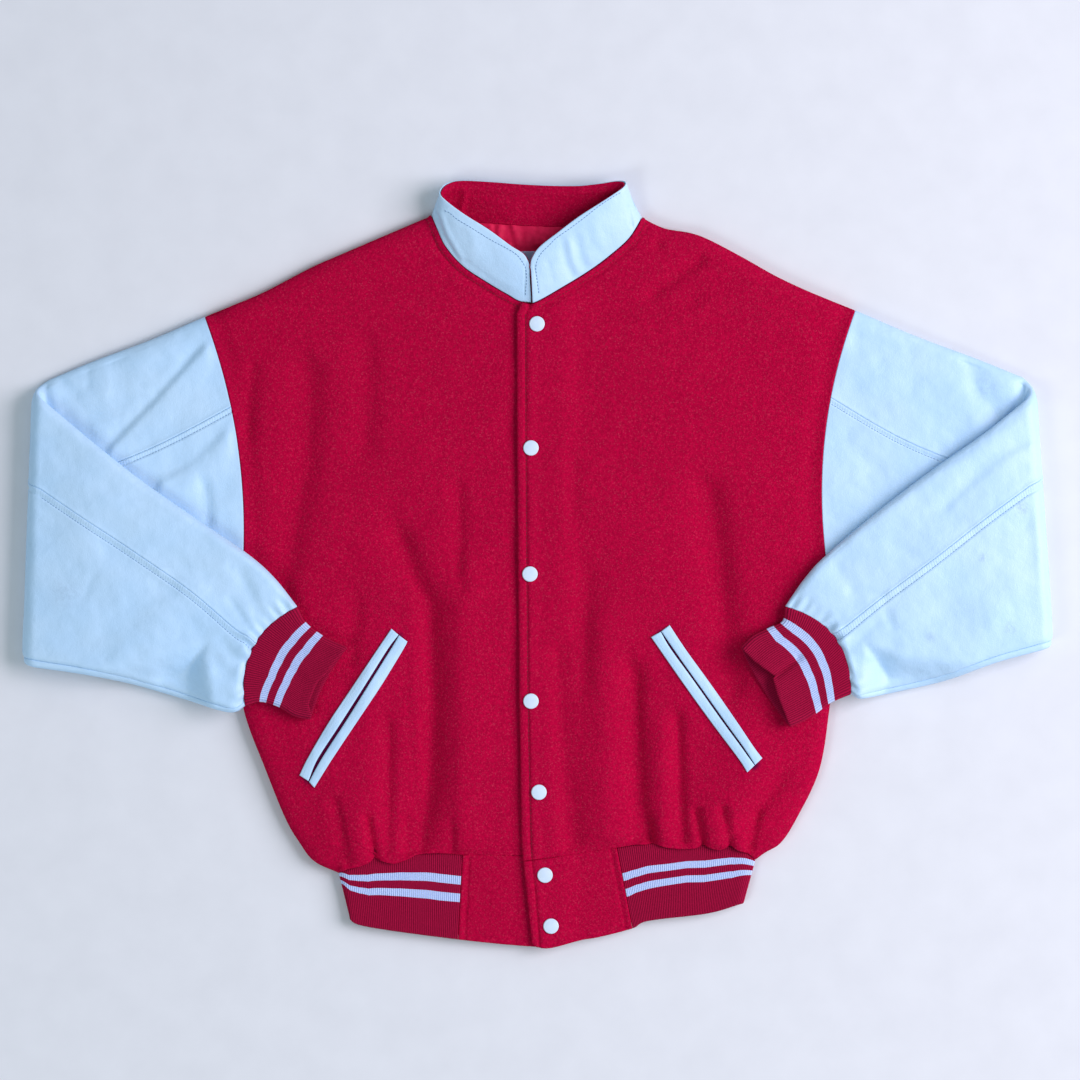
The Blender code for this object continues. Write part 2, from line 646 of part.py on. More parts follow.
# ------------------------------------------------------------------ the pieces
def body_places(body, seam):
    """Places up the side of a panel: hem, side seam, underarm, armhole, shoulder."""
    side_length = path_length(round_path(body["side_seam"]))
    arm = armhole_plan("right" if body["side"] < 0 else "left", seam)[::-1]
    whole = side_length + path_length(arm)
    side_steps = np.array([0.0, 4.0, 12.0, 26.0, 50.0, 85.0, 130.0, 180.0, 230.0])
    side_steps = side_steps[side_steps < side_length - 20.0]
    side_places = side_steps / side_length
    side_points = along_path(round_path(body["side_seam"])[::-1], side_places)
    end = np.vstack([side_points, arm])
    up = np.concatenate([side_steps, side_length + path_places(arm) * path_length(arm)]) / whole
    return end, up


def body_panel(side_name, top_inner, inner_places, foot_inner, start_edge, seam, columns):
    """Plan grid of half a panel: columns from the start edge out to the side, rows up."""
    body = BODY[side_name]
    end, up = body_places(body, seam)
    shoulder = round_path(body["shoulder"])
    shoulder_length, inner_length = path_length(shoulder), path_length(top_inner)
    outer_steps = shoulder_length - EDGE_STEPS[::-1]
    over = np.concatenate([np.linspace(0, outer_steps[0], columns + 1), outer_steps[1:]])
    top = np.vstack([along_path(top_inner, inner_places),
                     along_path(shoulder, over[1:] / shoulder_length)])
    across = np.concatenate([inner_places * inner_length, inner_length + over[1:]])
    across = across / across[-1]
    foot_length = path_length(foot_inner)
    foot_outer = (foot_length - EDGE_STEPS[::-1]) / foot_length
    count = len(across) - len(EDGE_STEPS) + 1
    foot = along_path(foot_inner, np.concatenate([np.linspace(0, foot_outer[0], count),
                                                  foot_outer[1:]]))
    start = along_path(start_edge, up)
    plan = coons(foot, top, start, end, across, up)
    return plan, end


def finish_side(points, normals, layer, body, end, neck_column):
    """Seams of a panel at its shoulder, side seam, armhole and hem."""
    up = np.array([0.0, 0.0, float(layer)])
    arm_start = len(end) - len(wall_places(0.3))
    middle_of_body = (0.0, 0.0)
    arm_into = level_across(end[arm_start:], middle_of_body)
    hem_into = level_across(points[:, 0], (0.0, 100.0))
    pull_back(points, normals, (slice(neck_column, None), -1), up)
    pull_back(points, normals, (-1, slice(0, arm_start + 1)), up)
    pull_back(points, normals, (-1, slice(arm_start, None)), arm_into)
    pull_back(points, normals, (slice(None), 0), hem_into)
    along = level_step(points[neck_column, -1], points[neck_column + 1, -1])
    normals[neck_column, -1] = body["side"] * np.array([-along[1], along[0], 0.0])
    down_arm = level_step(points[-1, -1], points[-1, arm_start])
    normals[-1, arm_start] = square_to(down_arm, arm_into[0])
    normals[-1, -1] = square_to(-down_arm, arm_into[-1])
    normals[-1, 0] = square_to(level_step(points[-3, 0], points[-1, 0]), hem_into[-1])


def front_grid(side_name):
    """Middle points and normals of one front."""
    body = BODY[side_name]
    neck = round_path(body["neckline"])
    neck_places = path_places(neck)[::ROUND_STEPS]
    plan, end = body_panel(side_name, neck, neck_places, round_path(body["hem"]),
                           np.array(body["front_edge"]), 0.33, 6)
    height = body_height(plan, 1)
    if side_name == "left":
        height = height + lap_lift(plan)
    points = lift_points(plan, height)
    normals = grid_normals(points, body["side"])
    finish_side(points, normals, 1, body, end, len(neck_places) - 1)
    return points, normals


def add_front(side_name):
    """One front."""
    points, normals = front_grid(side_name)
    return add_shell(f"front_{side_name}", points, normals, WOOL, "wool_melton")


def add_back():
    """The back: two mirrored grids joined down the middle."""
    neck, hem = round_path(BACK_NECKLINE), round_path(BACK_HEM)
    middle = np.array([(0.0, np.interp(0.0, *path.T)) for path in (hem, neck)])
    halves = []
    for name in ("right", "left"):
        body = BODY[name]
        neck_half, hem_half = (half_path(path, start, body["side"])
                               for path, start in ((neck, middle[1]), (hem, middle[0])))
        plan, end = body_panel(name, neck_half, np.array(BACK_NECK_PLACES), hem_half, middle, 0.33, 5)
        points = lift_points(plan, body_height(plan, -1))
        normals = grid_normals(points, -body["side"])
        finish_side(points, normals, -1, body, end, len(BACK_NECK_PLACES) - 1)
        halves.append((points, normals))
    (right, right_normals), (left, left_normals) = halves
    points = np.vstack([right[::-1], left[1:]])
    normals = np.vstack([right_normals[::-1], left_normals[1:]])
    return add_shell("back", points, normals, WOOL, "wool_melton")


def half_path(path, start, side):
    """The half of a path on one side, from a start point at its middle out to its end."""
    path = path[path[:, 0] * side > 1.0]
    return np.vstack([start[None], path if side > 0 else path[::-1]])


def add_sleeve(side_name):
    """A sleeve in three pieces, cut from one tube at its front, back and underarm seams."""
    tube, normals = sleeve_tube(side_name)
    count = len(wall_places(0.4))
    around = tube.shape[1]
    arm_into = -level_across(tube[0, :count], (0.0, 0.0))
    back_into = -level_across(np.vstack([tube[0, count - 1:], tube[0, :1]]), (0.0, 0.0))
    first = np.vstack([arm_into, back_into[1:-1]])
    cuff_into = level_across(tube[-1, :count], tube[0, 0])
    cuff_back = level_across(np.vstack([tube[-1, count - 1:], tube[-1, :1]]), tube[0, 0])
    last = np.vstack([cuff_into, cuff_back[1:-1]])
    square_tube_ends(tube, normals, first, last, [(0, -1.0), (count - 1, 1.0)])
    front_seam = len(EDGE_STEPS) + 1
    underarm_seam = count - 1 + 2
    back_seam = count - 1 + (count - 1 - front_seam)
    pieces = {
        "top": np.arange(back_seam, around + front_seam + 1) % around,
        "front": np.arange(front_seam, underarm_seam + 1),
        "back": np.arange(underarm_seam, back_seam + 1),
    }
    round_about = tangents(tube, 1, closed=True)
    for part, take in pieces.items():
        points, outs = tube[:, take].copy(), normals[:, take].copy()
        pull_back(points, outs, (slice(None), 0), round_about[:, take[0]])
        pull_back(points, outs, (slice(None), -1), -round_about[:, take[-1]])
        add_shell(f"sleeve_{side_name}_{part}", points, outs, LEATHER, "leather_white")


def add_cuff(side_name):
    """A cuff: a flattened tube with ribs along it, open at the hand."""
    side = BODY[side_name]["side"]
    places = wall_places(0.457)
    rings = []
    for top_x, top_y, under_x, under_y, lower_bow, upper_bow, half in CUFF[side_name]:
        section = (np.array([top_x, top_y]), np.array([under_x, under_y]),
                   (lower_bow, upper_bow), half, np.pi)
        rings.append(ring_points(section, (places, places), None, side, KNIT))
    tube = np.array(rings)
    normals = grid_normals(tube, -side, closed=True)
    count = len(places)
    inward = tube[-1, 0]
    front = level_across(tube[0, :count], inward)
    back = level_across(np.vstack([tube[0, count - 1:], tube[0, :1]]), inward)
    square_tube_ends(tube, normals, np.vstack([front, back[1:-1]]), None,
                     [(0, -1.0), (count - 1, 1.0)])
    widths = np.diff(np.concatenate([1 - places[::-1], [1.0]])[:count])
    ribs = np.maximum(np.round(CUFF_RIBS * widths), 0).astype(int)
    counts = [0] * (count - 1) + ribs.tolist()
    outer = rib_points(tube, normals, KNIT, counts, closed=True)
    add_shell(f"cuff_{side_name}", tube, normals, KNIT, "rib_knit", closed=True, ribs=outer)


def band_height(plan, share, corner_distance, layer, thickness):
    """Height of the middle of the waistband: `share` is 0 at its seam and 1 at its foot."""
    half = HEM_HALF + (RIB_END_HALF - HEM_HALF) * share
    width = ROLL + (BAND_ROLL - ROLL) * share
    return thickness / 2 + half * (1.0 + layer * roll(corner_distance, width))


def hem_stretch(path, start_point, steps):
    """Points of a path from the place nearest a point to its end, spaced finer at the end."""
    near = np.linalg.norm(path - np.array(start_point), axis=1).argmin()
    part = path[near:]
    length = path_length(part)
    ends = (length - EDGE_STEPS[::-1]) / length
    places = np.concatenate([np.linspace(0, ends[0], steps + 1), ends[1:]])
    return along_path(part, places), (1 - places) * length


def add_waist_rib():
    """The ribbed waistband, in one strip round the back from block to block."""
    steps, levels = 6, np.array([0.0, 0.5, 1.0])
    tops, feet, distances, layers, counts = [], [], [], [], []
    for name in ("right", "left"):
        body = BODY[name]
        top, away = hem_stretch(round_path(body["hem"]), body["block_top"], steps)
        foot, _ = hem_stretch(round_path(body["band_foot"]), body["block_foot"], steps)
        cells = np.linalg.norm(np.diff(top, axis=0), axis=1)
        ribs = np.where(cells < 1.5 * RIB_PITCH, 0, np.round(cells / RIB_PITCH)).astype(int)
        order = slice(None) if name == "right" else slice(None, None, -1)
        tops.append(top[order])
        feet.append(foot[order])
        distances.append(away[order])
        layers.append(np.ones(len(top)))
        counts.append(ribs[order])
    back_hem, foot_path = round_path(BACK_HEM), round_path(BACK_BAND_FOOT)
    back_length = path_length(back_hem)
    ends = EDGE_STEPS / back_length
    places = np.concatenate([ends[1:], np.linspace(ends[-1], 1 - ends[-1], 9)[1:-1],
                             1 - ends[::-1][:-1]])
    from_corner = np.minimum(places, 1 - places) * back_length
    top = np.vstack([tops[0], along_path(back_hem, places), tops[1]])
    foot = np.vstack([feet[0], along_path(foot_path, places), feet[1]])
    distance = np.concatenate([distances[0], from_corner, distances[1]])
    layer = np.concatenate([layers[0], -np.ones(len(places)), layers[1]])
    grid = []
    for share in levels:
        plan = top + share * (foot - top)
        grid.append(lift_points(plan, band_height(plan, share, distance, layer, KNIT)))
    points = np.array(grid)
    normals = grid_normals(points, -1.0)
    corners = (len(tops[0]) - 1, len(points[0]) - len(tops[1]))
    below = (0.0, -400.0)
    into = np.vstack([level_across(points[0, :corners[0] + 1], below),
                      level_across(points[0, corners[0]:corners[1] + 1], below)[1:-1],
                      level_across(points[0, corners[1]:], below)])
    pull_back(points, normals, (0, slice(None)), into)
    for corner, inward in zip(corners, (-2, 2)):
        outward = level_step(points[0, corner + inward], points[0, corner])
        normals[:, corner] = square_to(outward, into[corner])
    for column, name in ((0, "right"), (-1, "left")):
        body = BODY[name]
        line = np.array([body["block_top"], body["block_foot"]])
        into = level_across(line, (body["side"] * 150.0, -330.0))[0]
        pull_back(points, normals, (slice(None), column), into)
    plain = [0] * (corners[1] - corners[0])
    ribs = rib_points(points, normals, KNIT, list(counts[0]) + plain + list(counts[1]))
    add_shell("waistband_rib", points, normals, KNIT, "rib_knit", ribs=ribs)


def block_grid(side_name):
    """Middle points and normals of a waistband block at the centre front."""
    body = BODY[side_name]
    hem, foot = round_path(body["hem"]), round_path(body["band_foot"])
    ends = [np.linalg.norm(path - np.array(body[key]), axis=1).argmin()
            for path, key in ((hem, "block_top"), (foot, "block_foot"))]
    places = np.linspace(0.0, 1.0, 8)
    top, low = along_path(hem[:ends[0] + 1], places), along_path(foot[:ends[1] + 1], places)
    far = np.full(len(places), 10 * ROLL)
    grid = []
    for share in (0.0, 0.33, 0.67, 1.0):
        plan = top + share * (low - top)
        height = band_height(plan, share, far, 1.0, WOOL)
        if side_name == "left":
            height = height + lap_lift(plan)
        grid.append(lift_points(plan, height))
    points = np.array(grid)
    normals = grid_normals(points, body["side"])
    pull_back(points, normals, (0, slice(None)), level_across(points[0], (0.0, -400.0)))
    line = np.array([body["block_top"], body["block_foot"]])
    pull_back(points, normals, (slice(None), -1), level_across(line, (0.0, -330.0))[0])
    return points, normals


def add_block(side_name):
    """A wool block that ends the waistband."""
    points, normals = block_grid(side_name)
    add_shell(f"waistband_block_{side_name}", points, normals, WOOL, "wool_melton")


def neck_loop():
    """The neckline in plan from the wearer's right front round the back to the left front."""
    right, left = (round_path(BODY[name]["neckline"]) for name in ("right", "left"))
    right = right[right[:, 0] <= COLLAR_ENDS["right"]]
    left = left[left[:, 0] >= COLLAR_ENDS["left"]]
    return np.vstack([right, round_path(BACK_NECKLINE)[1:-1], left[::-1]])


def collar_grid(first_share=0.0):
    """Middle points and outward normals of the collar's leather, from its seam to its edge.

    `first_share` is the share of the rise at which the rows begin.
    """
    table = rows(COLLAR, COLLAR_COLUMNS)
    loop = neck_loop()
    seam_plan = along_path(loop, table["place"])
    edge = np.stack([table["edge_x"], table["edge_y"], table["edge_z"]], axis=1)
    behind = (table["place"] > NECK_POINTS[0]) & (table["place"] < NECK_POINTS[1])
    height = np.where(behind, body_height(seam_plan, -1), body_height(seam_plan, 1))
    on_left = table["place"] > NECK_POINTS[1]
    height = height + np.where(on_left, lap_lift(seam_plan), 0.0)
    rise = unit(edge[:, :2] - seam_plan)
    across = level_across(seam_plan, (0.0, 300.0))[:, :2]
    slant = np.maximum(np.abs((rise * across).sum(-1, keepdims=True)), 0.45)
    seam_plan = seam_plan + NECK_INSET / slant * rise
    seam = lift_points(seam_plan, height + np.where(behind, 1.2, 0.6))
    shares = np.linspace(first_share, 1.0, COLLAR_RISE_STEPS + 1)
    straight = np.array([seam + share * (edge - seam) for share in shares])
    normals = grid_normals(straight, 1.0)
    if normals[2, 4, 2] < 0:
        normals = -normals
    bulge = (4 * shares * (1 - shares))[:, None] * table["bulge"]
    points = straight + bulge[..., None] * normals
    return points, normals


def add_collar():
    """The stand collar: a leather face outside and a wool face inside it."""
    points, normals = collar_grid()
    inward = COLLAR_LEATHER / 2 + SEAM + COLLAR_WOOL / 2
    add_shell("collar_outer", points, normals, COLLAR_LEATHER, "leather_white")
    points, normals = collar_grid(INNER_START)
    lining = points - normals * inward
    add_shell("collar_inner", lining, normals, COLLAR_WOOL, "wool_melton")


def flat_patch(name, corners, steps, thickness, above, finish):
    """A patch on the inside of the back: its middle lies `above` the face of the wool."""
    corners = np.array(corners, float)
    across, up = np.linspace(0, 1, steps[0] + 1), np.linspace(0, 1, steps[1] + 1)
    foot = corners[0] + across[:, None] * (corners[1] - corners[0])
    top = corners[3] + across[:, None] * (corners[2] - corners[3])
    plan = foot[:, None] + up[None, :, None] * (top - foot)[:, None]
    points = lift_points(plan, rest_height(outer_tree(["back"]), plan) + above)
    add_shell(name, points, grid_normals(points, 1.0), thickness, finish)


def add_neck_lining():
    """Satin on the inside of the back below the collar, and the plain label on it."""
    on_wool = SEAM + SATIN / 2
    flat_patch("neck_lining", [(-62, 284), (62, 284), (72, 335), (-72, 335)], (8, 4), SATIN,
               on_wool, "satin_lining")
    flat_patch("neck_label", [(-32, 288), (24, 288), (24, 312.5), (-32, 312.5)], (3, 1), SATIN,
               on_wool + SATIN + SEAM, "woven_tape")


def outer_tree(piece_names):
    """A search tree of the facets of some pieces, in millimetres."""
    corners, faces = [], []
    for name in piece_names:
        mesh = bpy.data.objects[name].data
        start = len(corners)
        corners += [vertex.co / MM for vertex in mesh.vertices]
        faces += [[start + number for number in face.vertices] for face in mesh.polygons]
    return BVHTree.FromPolygons(corners, faces)


def rest_height(tree, plan):
    """Height of the upper face below each plan point."""
    heights = [tree.ray_cast(Vector((x, y, 200.0)), Vector((0, 0, -1)))[0][2]
               for x, y in np.reshape(plan, (-1, 2))]
    return np.reshape(heights, np.shape(plan)[:-1])


def add_welts():
    """Two leather welts along each pocket mouth, each one a strip on its front."""
    for name, line in WELTS.items():
        side_name = name.split("_")[1]
        tree = outer_tree([f"front_{side_name}"])
        path = along_path(round_path(line), np.linspace(0, 1, 15))
        across = level_across(path, (0.0, -150.0))[:, :2] * WELT_WIDTH[side_name] / 2
        plan = np.stack([path - across, path, path + across])
        points = lift_points(plan, rest_height(tree, plan) + REST_GAP + LEATHER / 2)
        normals = grid_normals(points, 1.0)
        if normals[1, 1, 2] < 0:
            normals = -normals
        add_shell(name, points, normals, LEATHER, "leather_white")


def add_snaps():
    """Domed snap caps down the left front and its waistband block."""
    tree = outer_tree(["front_left", "waistband_block_left"])
    profile = [(0.0, 0.0), (0.93, 0.0), (1.0, 0.16), (1.0, 0.36), (0.86, 0.72), (0.5, 0.95),
               (0.0, 1.0)]
    sides = 20
    turn = np.linspace(0, 2 * np.pi, sides, endpoint=False)
    for number, (x, y) in enumerate(SNAPS, start=1):
        rim = np.array([(x, y), (x + 6, y), (x - 6, y), (x, y + 6), (x, y - 6)])
        seat = rest_height(tree, rim).max() + REST_GAP
        corners = [(x, y, seat)]
        for radius, height in profile[1:-1]:
            ring = np.stack([x + radius * SNAP_RADIUS * np.cos(turn),
                             y + radius * SNAP_RADIUS * np.sin(turn),
                             np.full(sides, seat + height * SNAP_HEIGHT)], axis=1)
            corners += ring.tolist()
        corners.append((x, y, seat + SNAP_HEIGHT))
        faces = []
        last = len(corners) - 1
        for k in range(sides):
            step = (k + 1) % sides
            faces.append((0, 1 + step, 1 + k))
            faces.append((last, last - sides + k, last - sides + step))
            for ring in range(len(profile) - 3):
                a, b = 1 + ring * sides + k, 1 + ring * sides + step
                faces.append((a, b, b + sides))
                faces.append((a, b + sides, a + sides))
        add_piece(f"snap_{number}", corners, faces, "snap_enamel")


def main():
    """Build the jacket from nothing."""
    for item in list(bpy.data.objects):
        bpy.data.objects.remove(item)
    for side_name in BODY:
        add_front(side_name)
        add_sleeve(side_name)
        add_cuff(side_name)
        add_block(side_name)
    add_back()
    add_waist_rib()
    add_collar()
    add_neck_lining()
    add_welts()
    add_snaps()


main()
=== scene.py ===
# %% [markdown]
# # A varsity jacket, laid flat
# A varsity jacket has a body of felted wool, sleeves and a stand collar of leather, and cuffs
# and a waistband of rib knit. This one lies face up with its sleeves folded in. Each cut piece
# of cloth is one thin closed wall: a grid of points runs through its middle, and the grid is
# moved out and in by half the cloth's thickness. The grids are worked out with numpy as whole
# arrays, because a formula for a surface is shorter and smoother than vertices moved by hand.

import bpy
import numpy as np
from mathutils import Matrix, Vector
from mathutils.bvhtree import BVHTree


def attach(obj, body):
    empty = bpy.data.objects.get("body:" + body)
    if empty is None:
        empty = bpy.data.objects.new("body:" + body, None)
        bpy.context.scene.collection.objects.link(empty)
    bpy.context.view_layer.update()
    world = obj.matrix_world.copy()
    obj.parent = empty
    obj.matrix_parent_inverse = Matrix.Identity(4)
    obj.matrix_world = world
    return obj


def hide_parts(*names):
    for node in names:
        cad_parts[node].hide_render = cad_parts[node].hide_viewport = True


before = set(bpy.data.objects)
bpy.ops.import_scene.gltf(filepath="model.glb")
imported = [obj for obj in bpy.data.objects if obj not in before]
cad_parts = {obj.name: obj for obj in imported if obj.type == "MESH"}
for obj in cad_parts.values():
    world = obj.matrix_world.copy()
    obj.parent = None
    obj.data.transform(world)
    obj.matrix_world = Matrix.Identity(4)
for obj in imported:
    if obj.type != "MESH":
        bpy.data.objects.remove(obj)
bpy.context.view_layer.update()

# %% [markdown]
# ## Sizes
# Everything below is thought out in millimetres and scaled to metres when a mesh is made.
# +X is the wearer's left, +Y runs to the collar and +Z points up from the floor. The walls'
# thickness comes from the cloth: felted wool, garment leather and knit are 1.5 to 3 mm thick.

# %% Cloth and layers
MM = 0.001
WOOL, LEATHER, KNIT, SATIN = 2.4, 1.8, 3.0, 1.0
COLLAR_LEATHER, COLLAR_WOOL = 1.2, 1.4
LAYER = 0.3                                 # between two layers sewn together
GAP = 0.12                                  # between two pieces at their seam
BODY_HALF, HEM_HALF, RIB_END_HALF = 7.0, 5.5, 4.5   # half the height between front and back
HEM_RISE = 30.0                             # over which the body swells above the waistband
ROLL, BAND_ROLL = 16.0, 9.0                 # width of the rounded edge beside a fold
FOREARM_FLOOR = 17.6                        # height that the folded-in forearms lie on
DROOP_START, DROOP = 28.0, 30.0             # where a forearm drops to the floor past the edge
LAP_LIFT, LAP_START, LAP_END = WOOL + 0.5, 22.0, 46.0       # the left front on the right one
ARM_CHORD = 288.0                           # shoulder point to underarm
FOLD_LINES = (0, 0.25, 0.95, 2.1, 3.7, 5.7, 8.0, 10.5, 13.2, ROLL)     # grid lines at a fold
PANEL_LINES = FOLD_LINES + (19.0,)          # the same and one more, at a panel's sides
EDGE_LINES = (0, 0.35, 0.9, 1.8, 3.2)       # grid lines at a cut or turned edge
SIDE_LINES = EDGE_LINES + (5.2, 8.0)        # the same and two more, at the hem
CORNER_LINES = (0, 0.6, 1.8)                # grid lines beside a corner
EDGE_SHARE = 0.3                            # of the thickness is left at a wall's very edge
STEP = 3.8                                  # grid step over the open cloth
SIDE_LENGTH, ARM_LENGTH = 285.0, 250.0      # about the open part of the side seam and armhole
RIB_PITCH, RIB_HEIGHT, RIB_COLUMNS = 2.1, 0.6, 6    # a wale's width, height and grid columns

# %% [markdown]
# ## The outline
# Short tables give the cut edges in plan, from the centre front outwards, and a smooth curve
# runs through their points. Both fronts and the back share the shoulder and the side seam,
# where the flat body is folded. The side seam begins at the underarm, and the rib's seam at
# the waistband's wool block. The hem's edge swings out and in where the gathered wool bulges
# over the rib knit.

# %% Outline of the body
BODY = {
    "right": {
        "side": -1.0,
        "front_edge": [(11.5, -293.0), (11.5, 261.0)],
        "neckline": [(11.5, 261.0), (-14.0, 261.0), (-29.5, 268.6), (-50.5, 281.0), (-73.5, 296.5),
                     (-90.6, 315.5), (-98.2, 330.8), (-105.0, 347.0)],
        "shoulder": [(-105.0, 347.0), (-192.5, 309.5), (-224.5, 295.5), (-272.5, 270.5),
                     (-304.5, 257.0), (-331.5, 246.0)],
        "arm_bow": 17.0,
        "side_seam": [(-296.5, -36.5), (-297.0, -90.0), (-292.0, -146.5), (-270.0, -206.5),
                      (-250.5, -254.5), (-236.5, -278.5), (-222.0, -297.0), (-197.0, -309.0)],
        "hem": [(11.5, -293.0), (-14.0, -292.5), (-74.0, -291.5), (-140.0, -298.5),
                (-180.0, -303.5), (-197.0, -309.0)],
        "hem_edge": [(-86.5, -290.5), (-103.7, -289.9), (-119.5, -291.3), (-127.5, -295.3),
                     (-141.5, -300.2), (-153.1, -298.2), (-158.5, -295.0), (-161.0, -292.0),
                     (-163.5, -295.5), (-167.0, -299.2), (-176.9, -303.2), (-186.5, -305.3)],
        "rib_seam": [(-74.0, -291.5), (-103.7, -289.7), (-119.5, -290.6), (-141.0, -291.5),
                     (-161.0, -292.0), (-177.0, -297.0), (-197.0, -309.0)],
        "band_foot": [(12.0, -382.0), (-7.5, -383.0), (-78.5, -376.0), (-173.5, -362.5),
                      (-186.0, -352.0)],
        "block_foot": (-78.5, -376.0),
    },
    "left": {
        "side": 1.0,
        "front_edge": [(-13.6, -297.5), (-15.0, -276.5), (-17.5, -136.5), (-19.5, 113.5),
                       (-20.0, 250.0), (-15.0, 261.0)],
        "neckline": [(-15.0, 261.0), (-1.6, 260.4), (30.0, 278.0), (54.8, 293.5), (74.0, 307.8),
                     (93.0, 325.0), (105.5, 345.0)],
        "shoulder": [(105.5, 345.0), (127.5, 334.5), (155.0, 329.5), (175.5, 321.5),
                     (207.5, 304.5), (239.5, 286.5), (271.5, 271.5), (303.5, 258.5),
                     (318.5, 252.5)],
        "arm_bow": 21.0,
        "side_seam": [(296.5, -36.5), (297.0, -90.0), (292.0, -146.5), (282.0, -206.5),
                      (259.5, -254.5), (244.0, -278.5), (229.0, -288.0), (218.0, -296.0)],
        "hem": [(-13.6, -297.5), (18.5, -293.5), (80.5, -284.5), (140.0, -284.5),
                (185.0, -288.5), (218.0, -296.0)],
        "hem_edge": [(96.0, -281.7), (106.9, -281.1), (117.5, -280.6), (128.5, -283.9),
                     (139.4, -285.5), (150.3, -285.5), (161.1, -284.4), (166.5, -280.6),
                     (172.0, -283.9), (180.5, -286.5), (188.2, -284.9), (193.5, -281.5),
                     (201.0, -287.0), (211.0, -290.0)],
        "rib_seam": [(80.5, -284.5), (100.0, -281.3), (117.5, -280.4), (140.0, -280.4),
                     (166.5, -280.4), (193.5, -281.3), (205.0, -286.0), (218.0, -296.0)],
        "band_foot": [(-4.7, -380.0), (0.5, -383.5), (14.5, -384.5), (43.5, -377.0), (63.5, -373.5),
                      (96.0, -365.0), (112.0, -357.5), (171.5, -350.0), (206.0, -340.0)],
        "block_foot": (96.0, -365.0),
    },
}
BACK_NECKLINE = [(-105.0, 347.0), (-85.0, 345.0), (-56.0, 342.0), (-2.6, 338.5), (40.0, 338.0),
                 (75.0, 340.5), (105.5, 345.0)]
BACK_HEM = [(-197.0, -309.0), (-180.0, -303.5), (-140.0, -298.5), (-60.0, -294.0), (0.0, -292.0),
            (60.0, -289.0), (140.0, -284.5), (185.0, -288.5), (218.0, -296.0)]
BACK_BAND_FOOT = [(-186.0, -352.0), (-160.0, -361.0), (-78.5, -372.0), (14.5, -378.0),
                  (98.5, -358.0), (171.5, -346.5), (206.0, -340.0)]


# %% Paths
def through(values, where):
    """Values on a smooth curve through the rows of a table, at fractional row numbers:
    the Catmull-Rom cubic, which leaves each row towards its neighbours' difference."""
    values = np.asarray(values, float)
    ends = np.vstack([2 * values[0] - values[1], values, 2 * values[-1] - values[-2]])
    row = np.clip(np.asarray(where).astype(int), 0, len(values) - 2)
    t = (where - row)[:, None]
    before, start, stop, after = (ends[row + k] for k in range(4))
    return (start + 0.5 * t * (stop - before)
            + t**2 * (before - 2.5 * start + 2 * stop - 0.5 * after)
            + 0.5 * t**3 * (after - before + 3 * (start - stop)))


def rounded(path, steps=8):
    """A path with round bends."""
    return through(path, np.linspace(0, len(path) - 1, steps * (len(path) - 1) + 1))


def lengths(path):
    """Distance of each point of a path from its start."""
    return np.concatenate([[0.0], np.cumsum(np.linalg.norm(np.diff(path, axis=0), axis=1))])


def along(path, distances):
    """Points at the given distances along a path."""
    path = np.asarray(path, float)
    return np.stack([np.interp(distances, lengths(path), column) for column in path.T], axis=1)


def away_from(points, path):
    """Shortest distance in plan from each point to a path."""
    path = np.asarray(path, float)
    start, run = path[:-1, :2], np.diff(path[:, :2], axis=0)
    flat = points[..., :2].reshape(-1, 1, 2)
    share = np.clip(((flat - start) * run).sum(-1) / (run * run).sum(-1), 0.0, 1.0)
    gap = np.linalg.norm(flat - start - share[..., None] * run, axis=-1).min(-1)
    return gap.reshape(points.shape[:-1])


def inside(points, outline):
    """Whether each point lies inside a closed outline, by counting crossings."""
    x, y = points[..., 0], points[..., 1]
    found = np.zeros(x.shape, bool)
    for (x0, y0), (x1, y1) in zip(outline, np.roll(outline, -1, axis=0)):
        rise = y1 - y0 if abs(y1 - y0) > 1e-9 else 1e-9
        found ^= ((y0 > y) != (y1 > y)) & (x < x0 + (y - y0) * (x1 - x0) / rise)
    return found


def outside(points, outline):
    """Distance in plan from a closed outline, 0 inside it."""
    away = away_from(points, np.vstack([outline, outline[:1]]))
    return np.where(inside(points, outline), 0.0, away)


def smooth_step(value):
    """0 below 0, 1 above 1, and an even S between."""
    value = np.clip(value, 0.0, 1.0)
    return value * value * (3.0 - 2.0 * value)


def roll(distance, width=ROLL):
    """Share of the full height at a distance from a fold: a quarter of an ellipse."""
    return np.sqrt(1.0 - (1.0 - np.clip(distance / width, 0.0, 1.0)) ** 2)


def lines(length, start, end, step=STEP, count=None):
    """Places of grid lines along an edge: the given ones at both ends, even steps between."""
    start, end = np.asarray(start, float), length - np.asarray(end, float)[::-1]
    count = count or max(1, int(np.ceil((end[0] - start[-1]) / step)))
    return np.concatenate([start[:-1], np.linspace(start[-1], end[0], count + 1), end[1:]])


def refit(places, length, keep=ROLL):
    """Places along one edge carried to an edge of another length, the ends not stretched."""
    whole = places[-1]
    middle = keep + (places - keep) * (length - 2 * keep) / (whole - 2 * keep)
    return np.where(places < keep, places,
                    np.where(places > whole - keep, length - whole + places, middle))


def shares(length, step, ends=EDGE_LINES):
    """Places of grid lines across something of a length in millimetres, from 0 to 1."""
    ends = np.array(ends) / length
    return lines(1.0, ends, ends, step / length)


# %% [markdown]
# ## From a grid to a wall of cloth
# A surface is a grid of points. Its normals come from the directions of the grid's two sets of
# lines. A wall needs an outer and an inner grid, a rim that closes them, and an edge that is
# rounded, because cloth that is turned over has no sharp corner. Solidify could give the
# thickness, but the rounded edge and the ribs, which lie on the outer face only, are easier to
# say here.

# %% Grids
def unit(vectors):
    """Vectors scaled to length 1."""
    return vectors / np.maximum(np.linalg.norm(vectors, axis=-1, keepdims=True), 1e-12)


